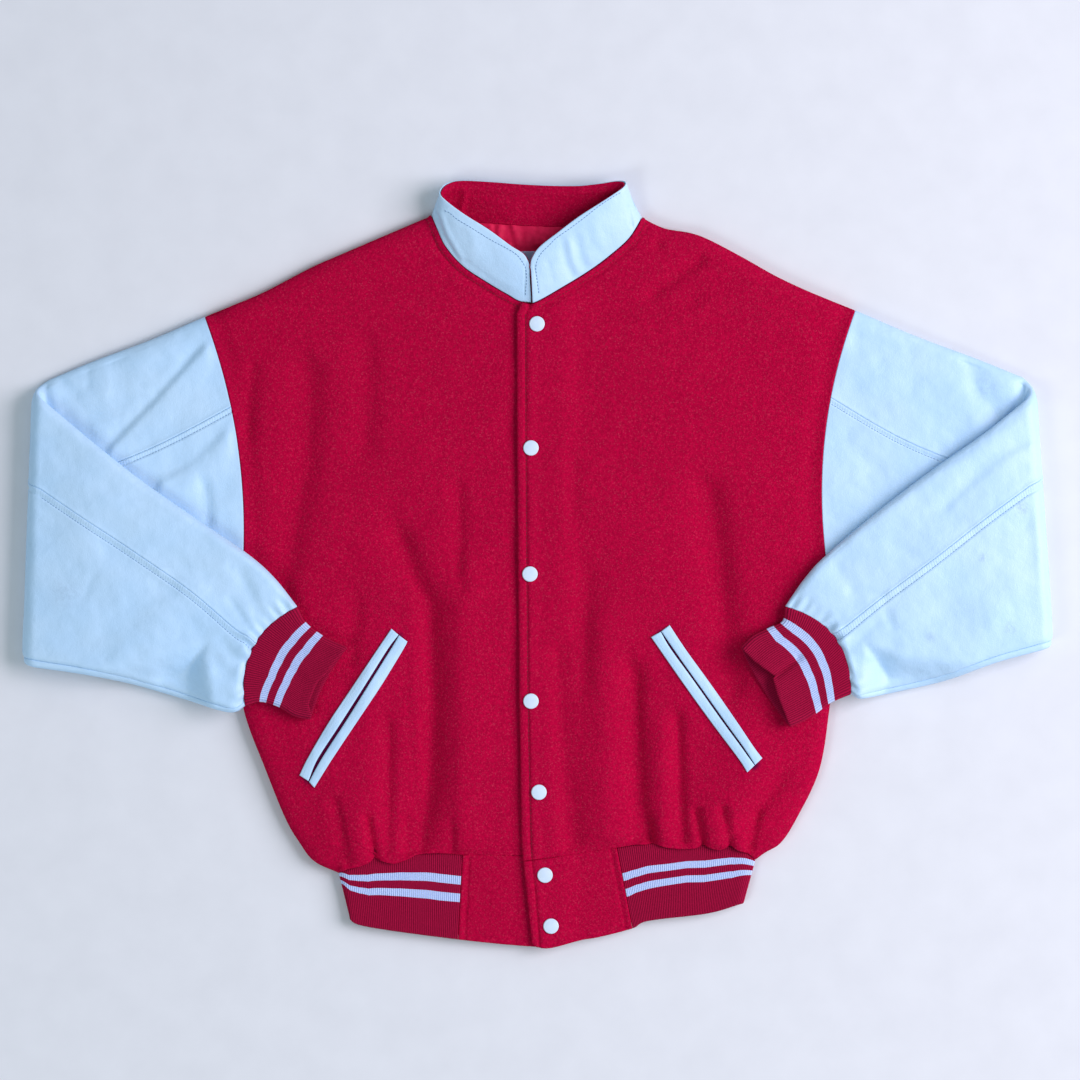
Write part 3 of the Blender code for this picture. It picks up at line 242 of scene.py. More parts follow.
def tangents(points, axis, closed=False):
    """Unit directions along one axis of a grid, halving the corner at each point."""
    if closed:
        forward = unit(np.roll(points, -1, axis=axis) - points)
        return unit(forward + np.roll(forward, 1, axis=axis))
    step = unit(np.diff(points, axis=axis))
    return unit(np.concatenate([np.take(step, [0], axis), step], axis)
                + np.concatenate([step, np.take(step, [-1], axis)], axis))


def grid_normals(points, outward, closed=False):
    """Unit normals of a grid, on the side that `outward` (1 or -1) picks."""
    return outward * unit(np.cross(tangents(points, 0), tangents(points, 1, closed)))


def facing_up(normals, column=4):
    """Normals, turned over if they point down at a place away from the edges."""
    return -normals if normals[4, column, 2] < 0 else normals


def level_across(path, toward):
    """Level unit vectors across a path, on the side of the point `toward`."""
    path = np.asarray(path, float)[:, :2]
    run = tangents(path, 0)
    across = np.stack([-run[:, 1], run[:, 0], np.zeros(len(path))], axis=1)
    middle = len(path) // 2
    wrong = across[middle, :2] @ (np.array(toward, float)[:2] - path[middle]) < 0
    return -across if wrong else across


def square_to(normals, into):
    """Unit normals turned square to the directions `into`."""
    return unit(normals - (normals * into).sum(-1, keepdims=True) * into)


def pull_back(points, normals, edge, into):
    """Draw an edge back from its seam by half the gap, and square its end."""
    points[edge] += GAP / 2 * into
    normals[edge] = square_to(normals[edge], into)


def coons(foot, top, start, end, across, up):
    """Grid inside four edges: the sum of the two ruled surfaces between opposite edges,
    less the bilinear one through the corners."""
    across, up = across[:, None, None], up[None, :, None]
    foot, top, start, end = foot[:, None], top[:, None], start[None], end[None]
    corners = ((1 - across) * ((1 - up) * foot[0, 0] + up * top[0, 0])
               + across * ((1 - up) * foot[-1, 0] + up * top[-1, 0]))
    return (1 - up) * foot + up * top + (1 - across) * start + across * end - corners


def with_height(plan, height):
    """Plan points with their heights."""
    return np.concatenate([plan, height[..., None]], axis=-1)


def line_lengths(points, axis):
    """Distance of each grid point from the start of its line."""
    steps = np.linalg.norm(np.diff(points, axis=axis), axis=-1)
    pad = [(0, 0), (0, 0)]
    pad[axis] = (1, 0)
    return np.pad(np.cumsum(steps, axis=axis), pad)


def edge_distance(points, closed=False):
    """Distance of each grid point from the nearest free edge, along the grid's lines."""
    found = []
    for axis in (0,) if closed else (0, 1):
        run = line_lengths(points, axis)
        found.append(np.minimum(run, np.take(run, [-1], axis) - run))
    return np.min(found, axis=0)


# %% Random but repeatable unevenness
CREST = 10.0                                # over which one flank's width turns into the other's


def soft_waves(points, size, seed, count=24):
    """Even unevenness with a spread of 1: a sum of sine waves of about `size` millimetres,
    each in a random direction. The same seed gives the same waves."""
    chance = np.random.default_rng(seed)
    directions = unit(chance.normal(size=(count, points.shape[-1])))
    waves = directions.T * 2 * np.pi / (size * chance.uniform(0.7, 1.6, count))
    return np.sin(points @ waves + chance.uniform(0, 2 * np.pi, count)).sum(-1) * np.sqrt(2 / count)


def creases(points, table):
    """Height of soft ridges and troughs. Each row is a path in plan, the widths of the flanks
    on the left and on the right of someone who walks along it, and the height at its crest,
    which falls off as a bell: h * exp(-(d/w)^2)."""
    total = np.zeros(points.shape[:-1])
    for path, left, right, height in table:
        path = np.array(path, float)
        run, start = unit(path[-1] - path[0]), points[..., :2] - path[0]
        to_left = smooth_step((run[0] * start[..., 1] - run[1] * start[..., 0]) / CREST + 0.5)
        width = right + (left - right) * to_left
        total += height * np.exp(-(away_from(points, path) / width) ** 2)
    return total


# %% Meshes
pieces = {}


def add_mesh(name, corners, faces, finish, uvs=None, fields=None):
    """One object from corners in millimetres and four-cornered faces, turned to face out."""
    a, b, c, d = (corners[faces[:, k]] for k in range(4))
    if (a * (np.cross(b, c) + np.cross(c, d))).sum() < 0:
        faces = faces[:, ::-1]
        uvs = None if uvs is None else uvs[:, ::-1]
    mesh = bpy.data.meshes.new(name)
    mesh.vertices.add(len(corners))
    mesh.vertices.foreach_set("co", (corners * MM).astype(np.float32).ravel())
    mesh.loops.add(faces.size)
    mesh.loops.foreach_set("vertex_index", faces.astype(np.int32).ravel())
    mesh.polygons.add(len(faces))
    mesh.polygons.foreach_set("loop_start", np.arange(0, faces.size, 4, dtype=np.int32))
    mesh.update(calc_edges=True)
    mesh.shade_smooth()
    if uvs is not None:
        layer = mesh.uv_layers.new(name="cloth")
        layer.data.foreach_set("uv", (uvs.reshape(-1, 2) * MM).astype(np.float32).ravel())
    for key, values in (fields or {}).items():
        attribute = mesh.attributes.new(key, "FLOAT", "POINT")
        attribute.data.foreach_set("value", values.astype(np.float32).ravel())
    mesh.materials.append(finish)
    piece = bpy.data.objects.new(name, mesh)
    bpy.context.scene.collection.objects.link(piece)
    pieces[name] = piece
    print(name, "faces:", len(faces))
    return piece


def wall_quads(upper, lower, closed):
    """Corners of all faces of a wall, from the corner numbers of its two grids."""
    faces = [(upper[:-1, :-1], upper[1:, :-1], upper[1:, 1:], upper[:-1, 1:]),
             (lower[:-1, 1:], lower[1:, 1:], lower[1:, :-1], lower[:-1, :-1]),
             (upper[0, :-1], upper[0, 1:], lower[0, 1:], lower[0, :-1]),
             (upper[-1, 1:], upper[-1, :-1], lower[-1, :-1], lower[-1, 1:])]
    if not closed:
        faces += [(upper[1:, 0], upper[:-1, 0], lower[:-1, 0], lower[1:, 0]),
                  (upper[:-1, -1], upper[1:, -1], lower[1:, -1], lower[:-1, -1])]
    return np.concatenate([np.stack(face, -1).reshape(-1, 4) for face in faces])


def add_wall(name, middle, outward, thickness, finish, closed=False, lift=0.0, ribs=0.0,
             fields=None, bend=0.6):
    """A piece of cloth. Each point of the middle grid, raised by `lift`, goes out and in along
    its normal by half the thickness times f, where f = sqrt(1 - (1 - d/r)^2) rounds the free
    edge over a width r, and `ribs` stand on the outer face."""
    rows, columns = middle.shape[:2]
    radius = bend * thickness
    inward = np.clip(edge_distance(middle, closed) / radius, 0.0, 1.0)
    half = thickness / 2 * np.maximum(np.sqrt(1 - (1 - inward) ** 2), EDGE_SHARE)
    centre = middle + outward * np.broadcast_to(lift, (rows, columns))[..., None]
    outer = centre + outward * (half + ribs)[..., None]
    inner = centre - outward * half[..., None]
    corners = np.concatenate([outer.reshape(-1, 3), inner.reshape(-1, 3)])
    corners[:, 2] = np.maximum(corners[:, 2], 0.0)      # nothing sinks into the floor
    numbers = np.arange(rows * columns).reshape(rows, columns)
    around = np.hstack([middle, middle[:, :1]]) if closed else middle
    places = np.arange(rows * around.shape[1]).reshape(rows, -1)
    uvs = np.stack([line_lengths(around, 1), line_lengths(around, 0)], -1).reshape(-1, 2)
    if closed:
        numbers = np.hstack([numbers, numbers[:, :1]])
    faces = wall_quads(numbers, numbers + rows * columns, closed)
    looked_up = uvs[wall_quads(places, places, closed)]
    fields = {key: np.concatenate([np.ravel(value)] * 2) for key, value in (fields or {}).items()}
    return add_mesh(name, corners, faces, finish, looked_up, fields)


# %% [markdown]
# ## Finishes
# Each material is named for the real one. A node tree mixes two or three tones of it by a
# pattern whose scale is a real size in millimetres, and the same or a finer pattern gives the
# bump. Values that are the same all over are set on the shader itself. Colours are the sRGB
# values that one reads off a colour card, turned to the linear values that Blender works in.

# %% Colours and nodes
def colour(code):
    """Linear colour from an sRGB hex code."""
    parts = np.array([int(code[k:k + 2], 16) for k in (1, 3, 5)]) / 255.0
    linear = np.where(parts <= 0.04045, parts / 12.92, ((parts + 0.055) / 1.055) ** 2.4)
    return (*linear, 1.0)


def add(tree, kind, settings):
    """Add a node. A lower-case key is a property of the node, any other names an input or
    numbers it; a socket is linked there and a value is set."""
    node = tree.nodes.new(kind)
    for key, value in settings.items():
        if isinstance(key, str) and key[0].islower():
            setattr(node, key, value)
        elif isinstance(value, bpy.types.NodeSocket):
            tree.links.new(value, node.inputs[key])
        else:
            node.inputs[key].default_value = value
    return node


def new_material(name, settings):
    """An empty material with a Principled shader, its tree and its Object coordinates."""
    made = bpy.data.materials.new(name)
    made.use_nodes = True
    tree = made.node_tree
    shader = tree.nodes["Principled BSDF"]
    for key, value in settings.items():
        shader.inputs[key].default_value = value
    coordinates = add(tree, "ShaderNodeTexCoord", {}).outputs["Object"]
    return made, tree, shader, coordinates


def mix(tree, factor, first, second):
    """Colour socket between two colours or sockets."""
    node = add(tree, "ShaderNodeMix", {"data_type": "RGBA", 0: factor, 6: first, 7: second})
    return node.outputs[2]


def noise(tree, where, size_mm, detail=2.0, rough=0.5):
    """Noise whose blotches are about `size_mm` across."""
    node = add(tree, "ShaderNodeTexNoise", {"Vector": where, "Scale": 1.0 / (size_mm * MM),
                                            "Detail": detail, "Roughness": rough})
    return node.outputs["Fac"]


def ramp(tree, value, low, high):
    """Value stretched so that `low` gives 0 and `high` gives 1."""
    node = add(tree, "ShaderNodeMapRange", {"Value": value, "From Min": low, "From Max": high})
    return node.outputs["Result"]


def maths(tree, operation, *values):
    """Result of an operation on values or sockets."""
    settings = {"operation": operation, **dict(enumerate(values))}
    return add(tree, "ShaderNodeMath", settings).outputs[0]


def times(tree, first, second):
    """Product of two values or sockets."""
    return maths(tree, "MULTIPLY", first, second)


def field(tree, name):
    """Value of a field that the mesh carries."""
    return add(tree, "ShaderNodeAttribute", {"attribute_name": name}).outputs["Fac"]


def bump(tree, shader, layers):
    """Chain of bumps: each layer is a height from 0 to 1 and its depth in millimetres."""
    normal = None
    for height, depth in layers:
        settings = {"Height": height, "Distance": depth * MM, "Strength": 1.0}
        if normal is not None:
            settings["Normal"] = normal
        normal = add(tree, "ShaderNodeBump", settings).outputs["Normal"]
    tree.links.new(normal, shader.inputs["Normal"])


# %% Melton wool
def melton_wool(name, tones):
    """Felted, brushed wool: matt, with a nap of short fibres. To the eye it is one deep colour
    with fine lighter flecks, softly cloudy, and it glows a little at grazing angles. Beside the
    pockets' mouths, which a field on the mesh marks, a dark purple is painted in: painted shade
    of the pockets' insides."""
    deep, plain, fleck, pocket_shade_tone = (colour(code) for code in tones)
    made, tree, shader, where = new_material(name, {
        "Roughness": 0.95, "Specular IOR Level": 0.02, "Sheen Weight": 0.03,
        "Sheen Roughness": 0.5, "Sheen Tint": colour("#E02050")})
    clouds = ramp(tree, noise(tree, where, 60.0, 3.0), 0.3, 0.7)
    felt = ramp(tree, noise(tree, where, 3.0, 4.0, 0.7), 0.36, 0.64)
    fibres = ramp(tree, noise(tree, where, 1.7, 3.0, 0.75), 0.54, 0.7)
    base = mix(tree, felt, deep, plain)
    base = mix(tree, times(tree, clouds, 0.3), base, deep)
    base = mix(tree, times(tree, fibres, 0.32), base, fleck)
    # painted shade: the dark purple of the shaded slits at the pockets' mouths
    base = mix(tree, field(tree, "painted_pocket_shade"), base, pocket_shade_tone)
    tree.links.new(base, shader.inputs["Base Color"])
    bump(tree, shader, [(felt, 0.4), (noise(tree, where, 0.9, 2.0), 0.3)])
    return made


# the fourth tone is painted shade, for the slits at the pockets' mouths
wool = melton_wool("melton_wool", ("#A60334", "#C4063E", "#D8506C", "#560A38"))


# %% Grained leather
FOLD_SHADE_SPOTS = [  # painted shade: greyer spots where the sleeves fold and crease: where, how large and how strong
    (452, 176, 17, 0.5), (485, 56, 5, 0.6), (445, 6, 4, 0.6), (473, -64, 5, 0.5),
    (393, -74, 5, 0.5), (-420, 150, 14, 0.25), (-470, -30, 12, 0.25),
]
PUCKER_PITCH = 2.9                          # from one pucker beside a seam to the next


def grained_leather(name):
    """Soft garment leather, dyed off-white: finely grained, half matt, with shallow wrinkles
    where it bends, and greyer spots painted in as shade where the sleeves fold and crease. Beside
    a sewn seam, which the fields `from_seam` and `along_seam` locate in millimetres, the thread
    draws up puckers."""
    made, tree, shader, where = new_material(name, {
        "Roughness": 0.46, "Specular IOR Level": 0.38, "Coat Weight": 0.05, "Coat Roughness": 0.35})
    clouds = ramp(tree, noise(tree, where, 70.0, 3.0), 0.35, 0.7)
    soil = ramp(tree, noise(tree, where, 22.0, 5.0, 0.65), 0.6, 0.8)
    base = mix(tree, clouds, colour("#C0E0FB"), colour("#B7DBFA"))
    base = mix(tree, times(tree, soil, 0.4), base, colour("#A7C6E0"))
    # painted shade: each listed spot greys the leather in noisy patches, for the shade in the folds
    # and creases
    for x, y, size, strength in FOLD_SHADE_SPOTS:
        spot = add(tree, "ShaderNodeVectorMath", {"operation": "DISTANCE", 0: where,
                                                  1: (x * MM, y * MM, 0.03)}).outputs["Value"]
        faded = ramp(tree, spot, 1.6 * size * MM, 0.3 * size * MM)
        painted_fold_shade = times(tree, faded, ramp(tree, noise(tree, where, 6.0, 4.0, 0.7), 0.4, 0.62))
        base = mix(tree, times(tree, painted_fold_shade, strength), base, colour("#8FA6BC"))
    tree.links.new(base, shader.inputs["Base Color"])
    from_seam = field(tree, "from_seam")
    band = times(tree, ramp(tree, from_seam, 0.4, 2.0), ramp(tree, from_seam, 7.8, 5.5))
    turn = times(tree, field(tree, "along_seam"), 2 * np.pi / PUCKER_PITCH)
    puckers = times(tree, band, maths(tree, "SINE", turn))
    pores = add(tree, "ShaderNodeTexVoronoi", {"Vector": where, "Scale": 1.0 / (1.3 * MM)})
    bump(tree, shader, [(noise(tree, where, 24.0, 2.0), 1.3),
                        (noise(tree, where, 7.0, 4.0, 0.6), 0.45),
                        (puckers, 0.07), (pores.outputs["Distance"], 0.12)])
    return made


leather = grained_leather("grained_leather")


# %% Rib knit
STRIPE_MIDDLES = (0.5, 2.57)                # from the first stripe's edge, in stripe widths


def rib_knit(name):
    """One by one rib in wool yarn: raised wales with furrows between, which are painted darker
    as shade, here with two light stripes knitted in. The fields `wale` and `stripe` come from
    the mesh: how high a point is on its wale, and how far it lies from the first stripe's edge,
    in stripe widths."""
    made, tree, shader, where = new_material(name, {
        "Roughness": 0.92, "Specular IOR Level": 0.08, "Sheen Weight": 0.05, "Sheen Roughness": 0.5,
        "Sheen Tint": colour("#E0305F")})
    wale, stripe = field(tree, "wale"), field(tree, "stripe")
    yarn = ramp(tree, noise(tree, where, 1.6, 3.0, 0.6), 0.3, 0.7)
    # painted shade: the furrows between the wales get a darker tone of the yarn, besides the
    # modelled ribs
    red, white = (mix(tree, wale, colour(furrow_shade), mix(tree, yarn, colour(deep), colour(plain)))
                  for furrow_shade, deep, plain in (("#6E0729", "#9E0C39", "#B41242"),
                                              ("#97ADE4", "#C0D2FA", "#D0DEFE")))
    first, second = (maths(tree, "COMPARE", stripe, middle, 0.5) for middle in STRIPE_MIDDLES)
    both = maths(tree, "MAXIMUM", first, second)
    tree.links.new(mix(tree, both, red, white), shader.inputs["Base Color"])
    bump(tree, shader, [(yarn, 0.25), (noise(tree, where, 0.9), 0.2)])
    return made


knit = rib_knit("rib_knit")


# %% Satin, tape, enamel and thread
def plain_weave(name, codes, size_mm, depth, settings):
    """A finish of two close tones in a fine grain of the given size."""
    made, tree, shader, where = new_material(name, settings)
    grain = ramp(tree, noise(tree, where, size_mm, 3.0), 0.3, 0.7)
    tree.links.new(mix(tree, grain, *map(colour, codes)), shader.inputs["Base Color"])
    bump(tree, shader, [(noise(tree, where, size_mm, 2.0), depth)])
    return made


satin = plain_weave("satin_lining", ("#D6164A", "#EA1E56"), 5.0, 0.1,
                    {"Roughness": 0.55, "Specular IOR Level": 0.12})
tape = plain_weave("woven_tape", ("#B4BEEE", "#C4CEF8"), 1.0, 0.1, {"Roughness": 0.7})
enamel = plain_weave("enamelled_snap", ("#D0E4F8", "#DAEAFB"), 6.0, 0.03,
                     {"Roughness": 0.34, "Specular IOR Level": 0.5, "Coat Weight": 0.15})
# painted shade: the white thread is coloured a dark grey-blue, so each row reads as the shaded
# needle holes in the leather
white_thread_painted_shade = plain_weave("white_thread_painted_shade", ("#6080A8", "#86A8CE"), 1.0, 0.05, {"Roughness": 0.7})
red_thread = plain_weave("crimson_thread", ("#6E0526", "#8A0832"), 1.0, 0.05, {"Roughness": 0.9})

# %% [markdown]
# ## The body
# Laid flat, the body is a tube that has been pressed: front and back lie 14 mm apart and meet
# at the shoulders and the sides in a rounded fold. So one function of the plan gives the
# height of both, from how far a point lies from the nearest fold. The fronts add what makes
# cloth look like cloth: long soft folds from the gathered hem, short troughs between the
# bulges there, a sewn edge beside the opening, and a slight unevenness all over.

# %% Height of the body
FOLDED = [rounded(BODY[side][edge]) for side in BODY for edge in ("shoulder", "side_seam")]
HEMS = [rounded(BODY[side]["hem"]) for side in BODY]
FRONT_FOLDS = [  # path, width of its left and right flank, height
    # wearer's right front
    ([(-136, 25), (-124, -10), (-108, -40), (-104, -136), (-107, -216), (-116, -280)],
     12, 17, -3.8),
    ([(-75, -20), (-72, -150), (-76, -280)], 26, 14, 2.4),
    ([(-78, 75), (-76, -25)], 7, 10, -1.4),
    ([(-170, 215), (-168, 160), (-172, 120)], 12, 16, -1.6),
    ([(-228, 190), (-232, 95), (-246, 24), (-254, -30)], 15, 22, -2.9),
    ([(-284, 195), (-289, 130)], 8, 8, -1.4),
    ([(-180, -40), (-186, -95)], 8, 12, -1.4),
    ([(-148, -160), (-149, -285)], 6, 9, -1.8),
    ([(-205, -190), (-185, -272)], 34, 30, 3.2),
    ([(-168, -110), (-172, -260)], 20, 16, 1.6),
    # wearer's left front
    ([(98, -110), (98, -160), (101, -236), (112, -280)], 10, 16, -3.8),
    ([(126, -170), (126, -270)], 12, 12, 1.6),
    ([(141, -155), (144, -236), (147, -280)], 6, 9, -2.6),
    ([(172, 70), (181, 5), (187, -57), (197, -120)], 15, 20, -3.6),
    ([(22, -90), (26, -200), (34, -285)], 13, 10, -2.6),
    ([(68, -60), (70, -270)], 24, 18, 2.0),
    ([(36, 105), (36, 50)], 7, 9, -1.0),
    ([(50, -10), (48, -120)], 9, 12, -1.3),
    ([(63, 251), (153, 262)], 14, 9, -1.4),
    ([(116, 270), (164, 303)], 9, 6, -2.0), ([(121, 318), (127, 334)], 5, 5, -2.0),
    ([(246, -215), (206, -268)], 7, 8, -1.6),
    ([(215, -190), (188, -262)], 30, 34, 3.2),
]
HEM_PINCHES = [  # the same, where the gathered wool is drawn in at the rib
    ([(-169, -255), (-162, -293)], 5, 5, -3.2), ([(-84, -262), (-84, -289)], 5, 6, -1.4),
    ([(-200, -240), (-189, -297)], 5, 8, -1.6), ([(-131, -255), (-130, -289)], 5, 5, -1.2),
    ([(160, -248), (166.5, -281)], 4, 4, -3.2), ([(222, -250), (214, -284)], 4, 5, -1.8),
    ([(186, -245), (193.5, -282)], 4.5, 5, -2.6), ([(112, -255), (117.5, -281)], 4, 5, -1.6),
]
# Plan of what lies on the fronts, under which they stay low.
COVERED = np.array([
    [(-320, 50), (-239, -28), (-180, -76), (-180, -102), (-218, -166), (-330, -170)],
    [(320, 50), (240, -28), (196, -76), (196, -102), (240, -174), (330, -170)],
], float)
ROOM = 0.4                                  # that folds may take below the forearms
FOLD_DEPTH = 2.0                            # all folds of the fronts, times this
FOLD_FADE, HEM_FADE, PINCH_FADE = 26.0, 9.0, 14.0   # over which folds set in beside an edge


def body_height(plan, layer):
    """Height of the middle of the wool: half the gap, times 1 plus or minus the roll. The
    folds are held down under the forearms."""
    edge = np.min([away_from(plan, path) for path in FOLDED], axis=0)
    above = np.min([away_from(plan, hem) for hem in HEMS], axis=0)
    half = HEM_HALF + (BODY_HALF - HEM_HALF) * smooth_step(above / HEM_RISE)
    height = WOOL / 2 + half * (1.0 + layer * roll(edge))
    if layer > 0:
        folds = FOLD_DEPTH * creases(plan, FRONT_FOLDS) * smooth_step(edge / FOLD_FADE)
        folds = folds * smooth_step(above / HEM_FADE)
        folds = folds + FOLD_DEPTH * creases(plan, HEM_PINCHES) * smooth_step(edge / PINCH_FADE)
        for outline in COVERED:
            folds = np.minimum(folds, ROOM + 0.2 * outside(plan, outline))
        height = height + folds
    return height


def lap_lift(plan):
    """How far the left front is raised where it laps over the right one."""
    return LAP_LIFT * (1.0 - smooth_step((plan[..., 0] - LAP_START) / (LAP_END - LAP_START)))


# %% Plan of a panel
def ring_plan(top, under, bow, places, side, turn):
    """Points of one wall of a sleeve's section in plan, bowed back along the sleeve."""
    chord = under - top
    out = unit(np.stack([-chord[..., 1], chord[..., 0]], -1))
    out = out * np.sign(out[..., :1] * side)
    back = -np.cos(turn) * bow * 4 * places * (1 - places)
    return top + places[..., None] * chord + back[..., None] * out


def armhole(body, count):
    """The armhole's edge in plan, from the shoulder point to the underarm."""
    return ring_plan(np.array(body["shoulder"][-1]), np.array(body["side_seam"][0]),
                     body["arm_bow"], np.linspace(0, 1, count), body["side"], 0.0)


def panel_plan(body, foot, top_inner, start, inner_lines, step=STEP):
    """Plan grid of half a panel from its start edge to its side, the points of its side edge,
    and the numbers of the grid lines at the shoulder's neck end and at the underarm. Both
    sides of the body get the same number of lines, so two halves can be joined."""
    side_path, arm_path = rounded(body["side_seam"])[::-1], armhole(body, 160)[::-1]
    shoulder = rounded(body["shoulder"])
    side_up = lines(lengths(side_path)[-1], SIDE_LINES, CORNER_LINES, step,
                    round(SIDE_LENGTH / step))
    arm_up = lines(lengths(arm_path)[-1], CORNER_LINES, PANEL_LINES, step,
                   round(ARM_LENGTH / step))
    up = np.concatenate([side_up, side_up[-1] + arm_up[1:]])
    end = np.vstack([along(side_path, side_up), along(arm_path, arm_up)[1:]])
    over = lines(lengths(shoulder)[-1], CORNER_LINES, PANEL_LINES)
    across = np.concatenate([inner_lines, inner_lines[-1] + over[1:]])
    top = np.vstack([along(top_inner, inner_lines), along(shoulder, over)[1:]])
    low = along(foot, refit(across, lengths(foot)[-1]))
    first = along(start, refit(up, lengths(start)[-1]))
    plan = coons(low, top, first, end, across / across[-1], up / up[-1])
    return plan, end, len(inner_lines) - 1, len(side_up) - 1


def finish_panel(points, normals, layer, end, neck, arm):
    """Draw a panel back at its shoulder, side seam, armhole and hem, and square its normals."""
    up = np.array([0.0, 0.0, float(layer)])
    arm_into = level_across(end[arm:], (0.0, 0.0))
    hem_into = level_across(points[:, 0], (0.0, 100.0))
    pull_back(points, normals, (slice(neck, None), -1), up)
    pull_back(points, normals, (-1, slice(0, arm + 1)), up)
    pull_back(points, normals, (-1, slice(arm, None)), arm_into)
    pull_back(points, normals, (slice(None), 0), hem_into)


# %% Fronts
PLACKET_STITCH, NECK_STITCH = 9.0, 5.5      # rows of stitching, from the edge
POCKET_MOUTHS = {"right": [(-140.0, -76.0), (-226.0, -213.0)],
                 "left": [(127.0, -72.0), (216.0, -199.0)]}
FRONT_LINES = EDGE_LINES + (5.5, 7.4, 8.3, PLACKET_STITCH, 9.7, 10.6, 13.0)
BULGE_HEIGHT, BULGE_DEPTH = 4.1, 34.0       # of the gathered wool above the rib
BULGE_START = 12.0                          # over which it sets in beside the block
PRESSED, PRESS_START, PRESS_WIDTH = 0.9, -34.0, 12.0    # the right front below the lap


def groove(distance, place, depth, width=0.9):
    """A sewn row's narrow trough at a distance from an edge."""
    return -depth * np.exp(-((distance - place) / width) ** 2)


def gathered_edge(body):
    """The hem's edge from the waistband's block to the side, where gathered wool bulges."""
    return [body["rib_seam"][0]] + body["hem_edge"] + [body["side_seam"][-1]]


def hem_bulge(body, plan):
    """How far the gathered wool is lifted over the rib, which begins at the rib's seam."""
    seam, edge = rounded(body["rib_seam"]), rounded(gathered_edge(body), 6)
    order, edge_order = np.argsort(seam[:, 0]), np.argsort(edge[:, 0])
    seam_y = np.interp(plan[..., 0], seam[order, 0], seam[order, 1])
    edge_y = np.interp(plan[..., 0], edge[edge_order, 0], edge[edge_order, 1])
    over = smooth_step((seam_y - edge_y + 0.4) / 1.0)
    from_block = plan[..., 0] * body["side"] - abs(body["rib_seam"][0][0])
    above = plan[..., 1] - seam_y
    return (BULGE_HEIGHT * over * smooth_step(from_block / BULGE_START)
            * (1.0 - smooth_step((above - 1.0) / BULGE_DEPTH)))


def front_surface(side_name):
    """Middle points and normals of one front."""
    body = BODY[side_name]
    neck_path = rounded(body["neckline"])
    centre = [point for point in body["hem"] if abs(point[0]) < abs(body["rib_seam"][0][0])]
    foot = rounded(centre + gathered_edge(body), 6)
    inner = lines(lengths(neck_path)[-1], FRONT_LINES, CORNER_LINES)
    plan, end, neck, arm = panel_plan(body, foot, neck_path, np.array(body["front_edge"]), inner)
    height = body_height(plan, 1) + hem_bulge(body, plan)
    if side_name == "left":
        height = height + lap_lift(plan)
    points = with_height(plan, height)
    normals = grid_normals(points, body["side"])
    finish_panel(points, normals, 1, end, neck, arm)
    return points, normals


def placket_lift(open_edge):
    """The opening's edge is sewn double: raised to its row of stitching, its edge rounded."""
    raised = 1.5 * (1.0 - smooth_step((open_edge - PLACKET_STITCH - 1.0) / 12.0))
    rounding = -1.3 * (1.0 - roll(open_edge, 5.0))
    return raised + rounding + groove(open_edge, PLACKET_STITCH, 1.5, 1.5)


def opening_lift(side_name, plan, open_edge):
    """Lift beside the opening: the left side is sewn double, the right one is pressed down."""
    if side_name == "left":
        return placket_lift(open_edge)
    return -PRESSED * smooth_step((plan[..., 0] - PRESS_START) / PRESS_WIDTH)


def add_front(side_name):
    """One front, with its sewn edges and the unevenness of brushed wool."""
    points, normals = front_surface(side_name)
    body = BODY[side_name]
    plan = points[..., :2]
    neck_edge = away_from(plan, rounded(body["neckline"])[8:])
    arm_edge = away_from(plan, armhole(body, 60))
    lift = 0.3 * soft_waves(plan, 90.0, 3) + 0.1 * soft_waves(plan, 26.0, 4)
    lift = lift * smooth_step(edge_distance(points) / 20.0)
    lift += (groove(neck_edge, NECK_STITCH + 1.5, 1.6, 2.2)
             + 0.8 * smooth_step(1.2 - neck_edge / 6.0))
    lift += groove(arm_edge, 11.0, 1.7, 9.0) * smooth_step(arm_edge / 4.0)
    lift += opening_lift(side_name, plan, away_from(plan, body["front_edge"]))
    # painted shade: the wool within about 8 mm of the pockets' mouths is marked for the dark purple
    # of the shaded slits
    pocket_mouth_shade = smooth_step((8.0 - away_from(plan, POCKET_MOUTHS[side_name])) / 3.0)
    return add_wall(f"front_{side_name}", points, normals, WOOL, wool, lift=lift,
                    fields={"painted_pocket_shade": pocket_mouth_shade})


for side_name in BODY:
    add_front(side_name)

# %% [markdown]
# ### The back
# Only the inside of its neck can be seen, so its grid is coarser. It is made as two halves that
# share the line down the middle, so that each half can use the same plan as a front.

# %% Back
BACK_STEP = 9.0


def half_path(path, start, side):
    """The half of a path on one side, from its middle out to its end."""
    path = path[path[:, 0] * side > 1.0]
    return np.vstack([start[None], path if side > 0 else path[::-1]])


def add_back():
    """The back as one wall."""
    neck_path, hem_path = rounded(BACK_NECKLINE), rounded(BACK_HEM)
    middle = np.array([(0.0, np.interp(0.0, *path.T)) for path in (hem_path, neck_path)])
    halves = []
    for body in BODY.values():
        inner_path = half_path(neck_path, middle[1], body["side"])
        foot = half_path(hem_path, middle[0], body["side"])
        inner = lines(lengths(inner_path)[-1], (0, 4.0), CORNER_LINES, BACK_STEP)
        plan, end, neck, arm = panel_plan(body, foot, inner_path, middle, inner, BACK_STEP)
        points = with_height(plan, body_height(plan, -1))
        normals = grid_normals(points, -body["side"])
        finish_panel(points, normals, -1, end, neck, arm)
        halves.append((points, normals))
    (right, right_normals), (left, left_normals) = halves
    points = np.vstack([right[::-1], left[1:]])
    normals = np.vstack([right_normals[::-1], left_normals[1:]])
    return add_wall("back", points, normals, WOOL, wool)


add_back()

# %% [markdown]
# ## The sleeves
# A two-piece under sleeve and a top sleeve make one tapered tube. It lies flat from the
# armhole to the elbow, turns over there and lies back across the body, upside down. A table
# gives the sections of the flattened tube, and a half turn about an edge at the elbow carries
# one half to the other. The seams are lines of the same grid, so the three pieces fit.

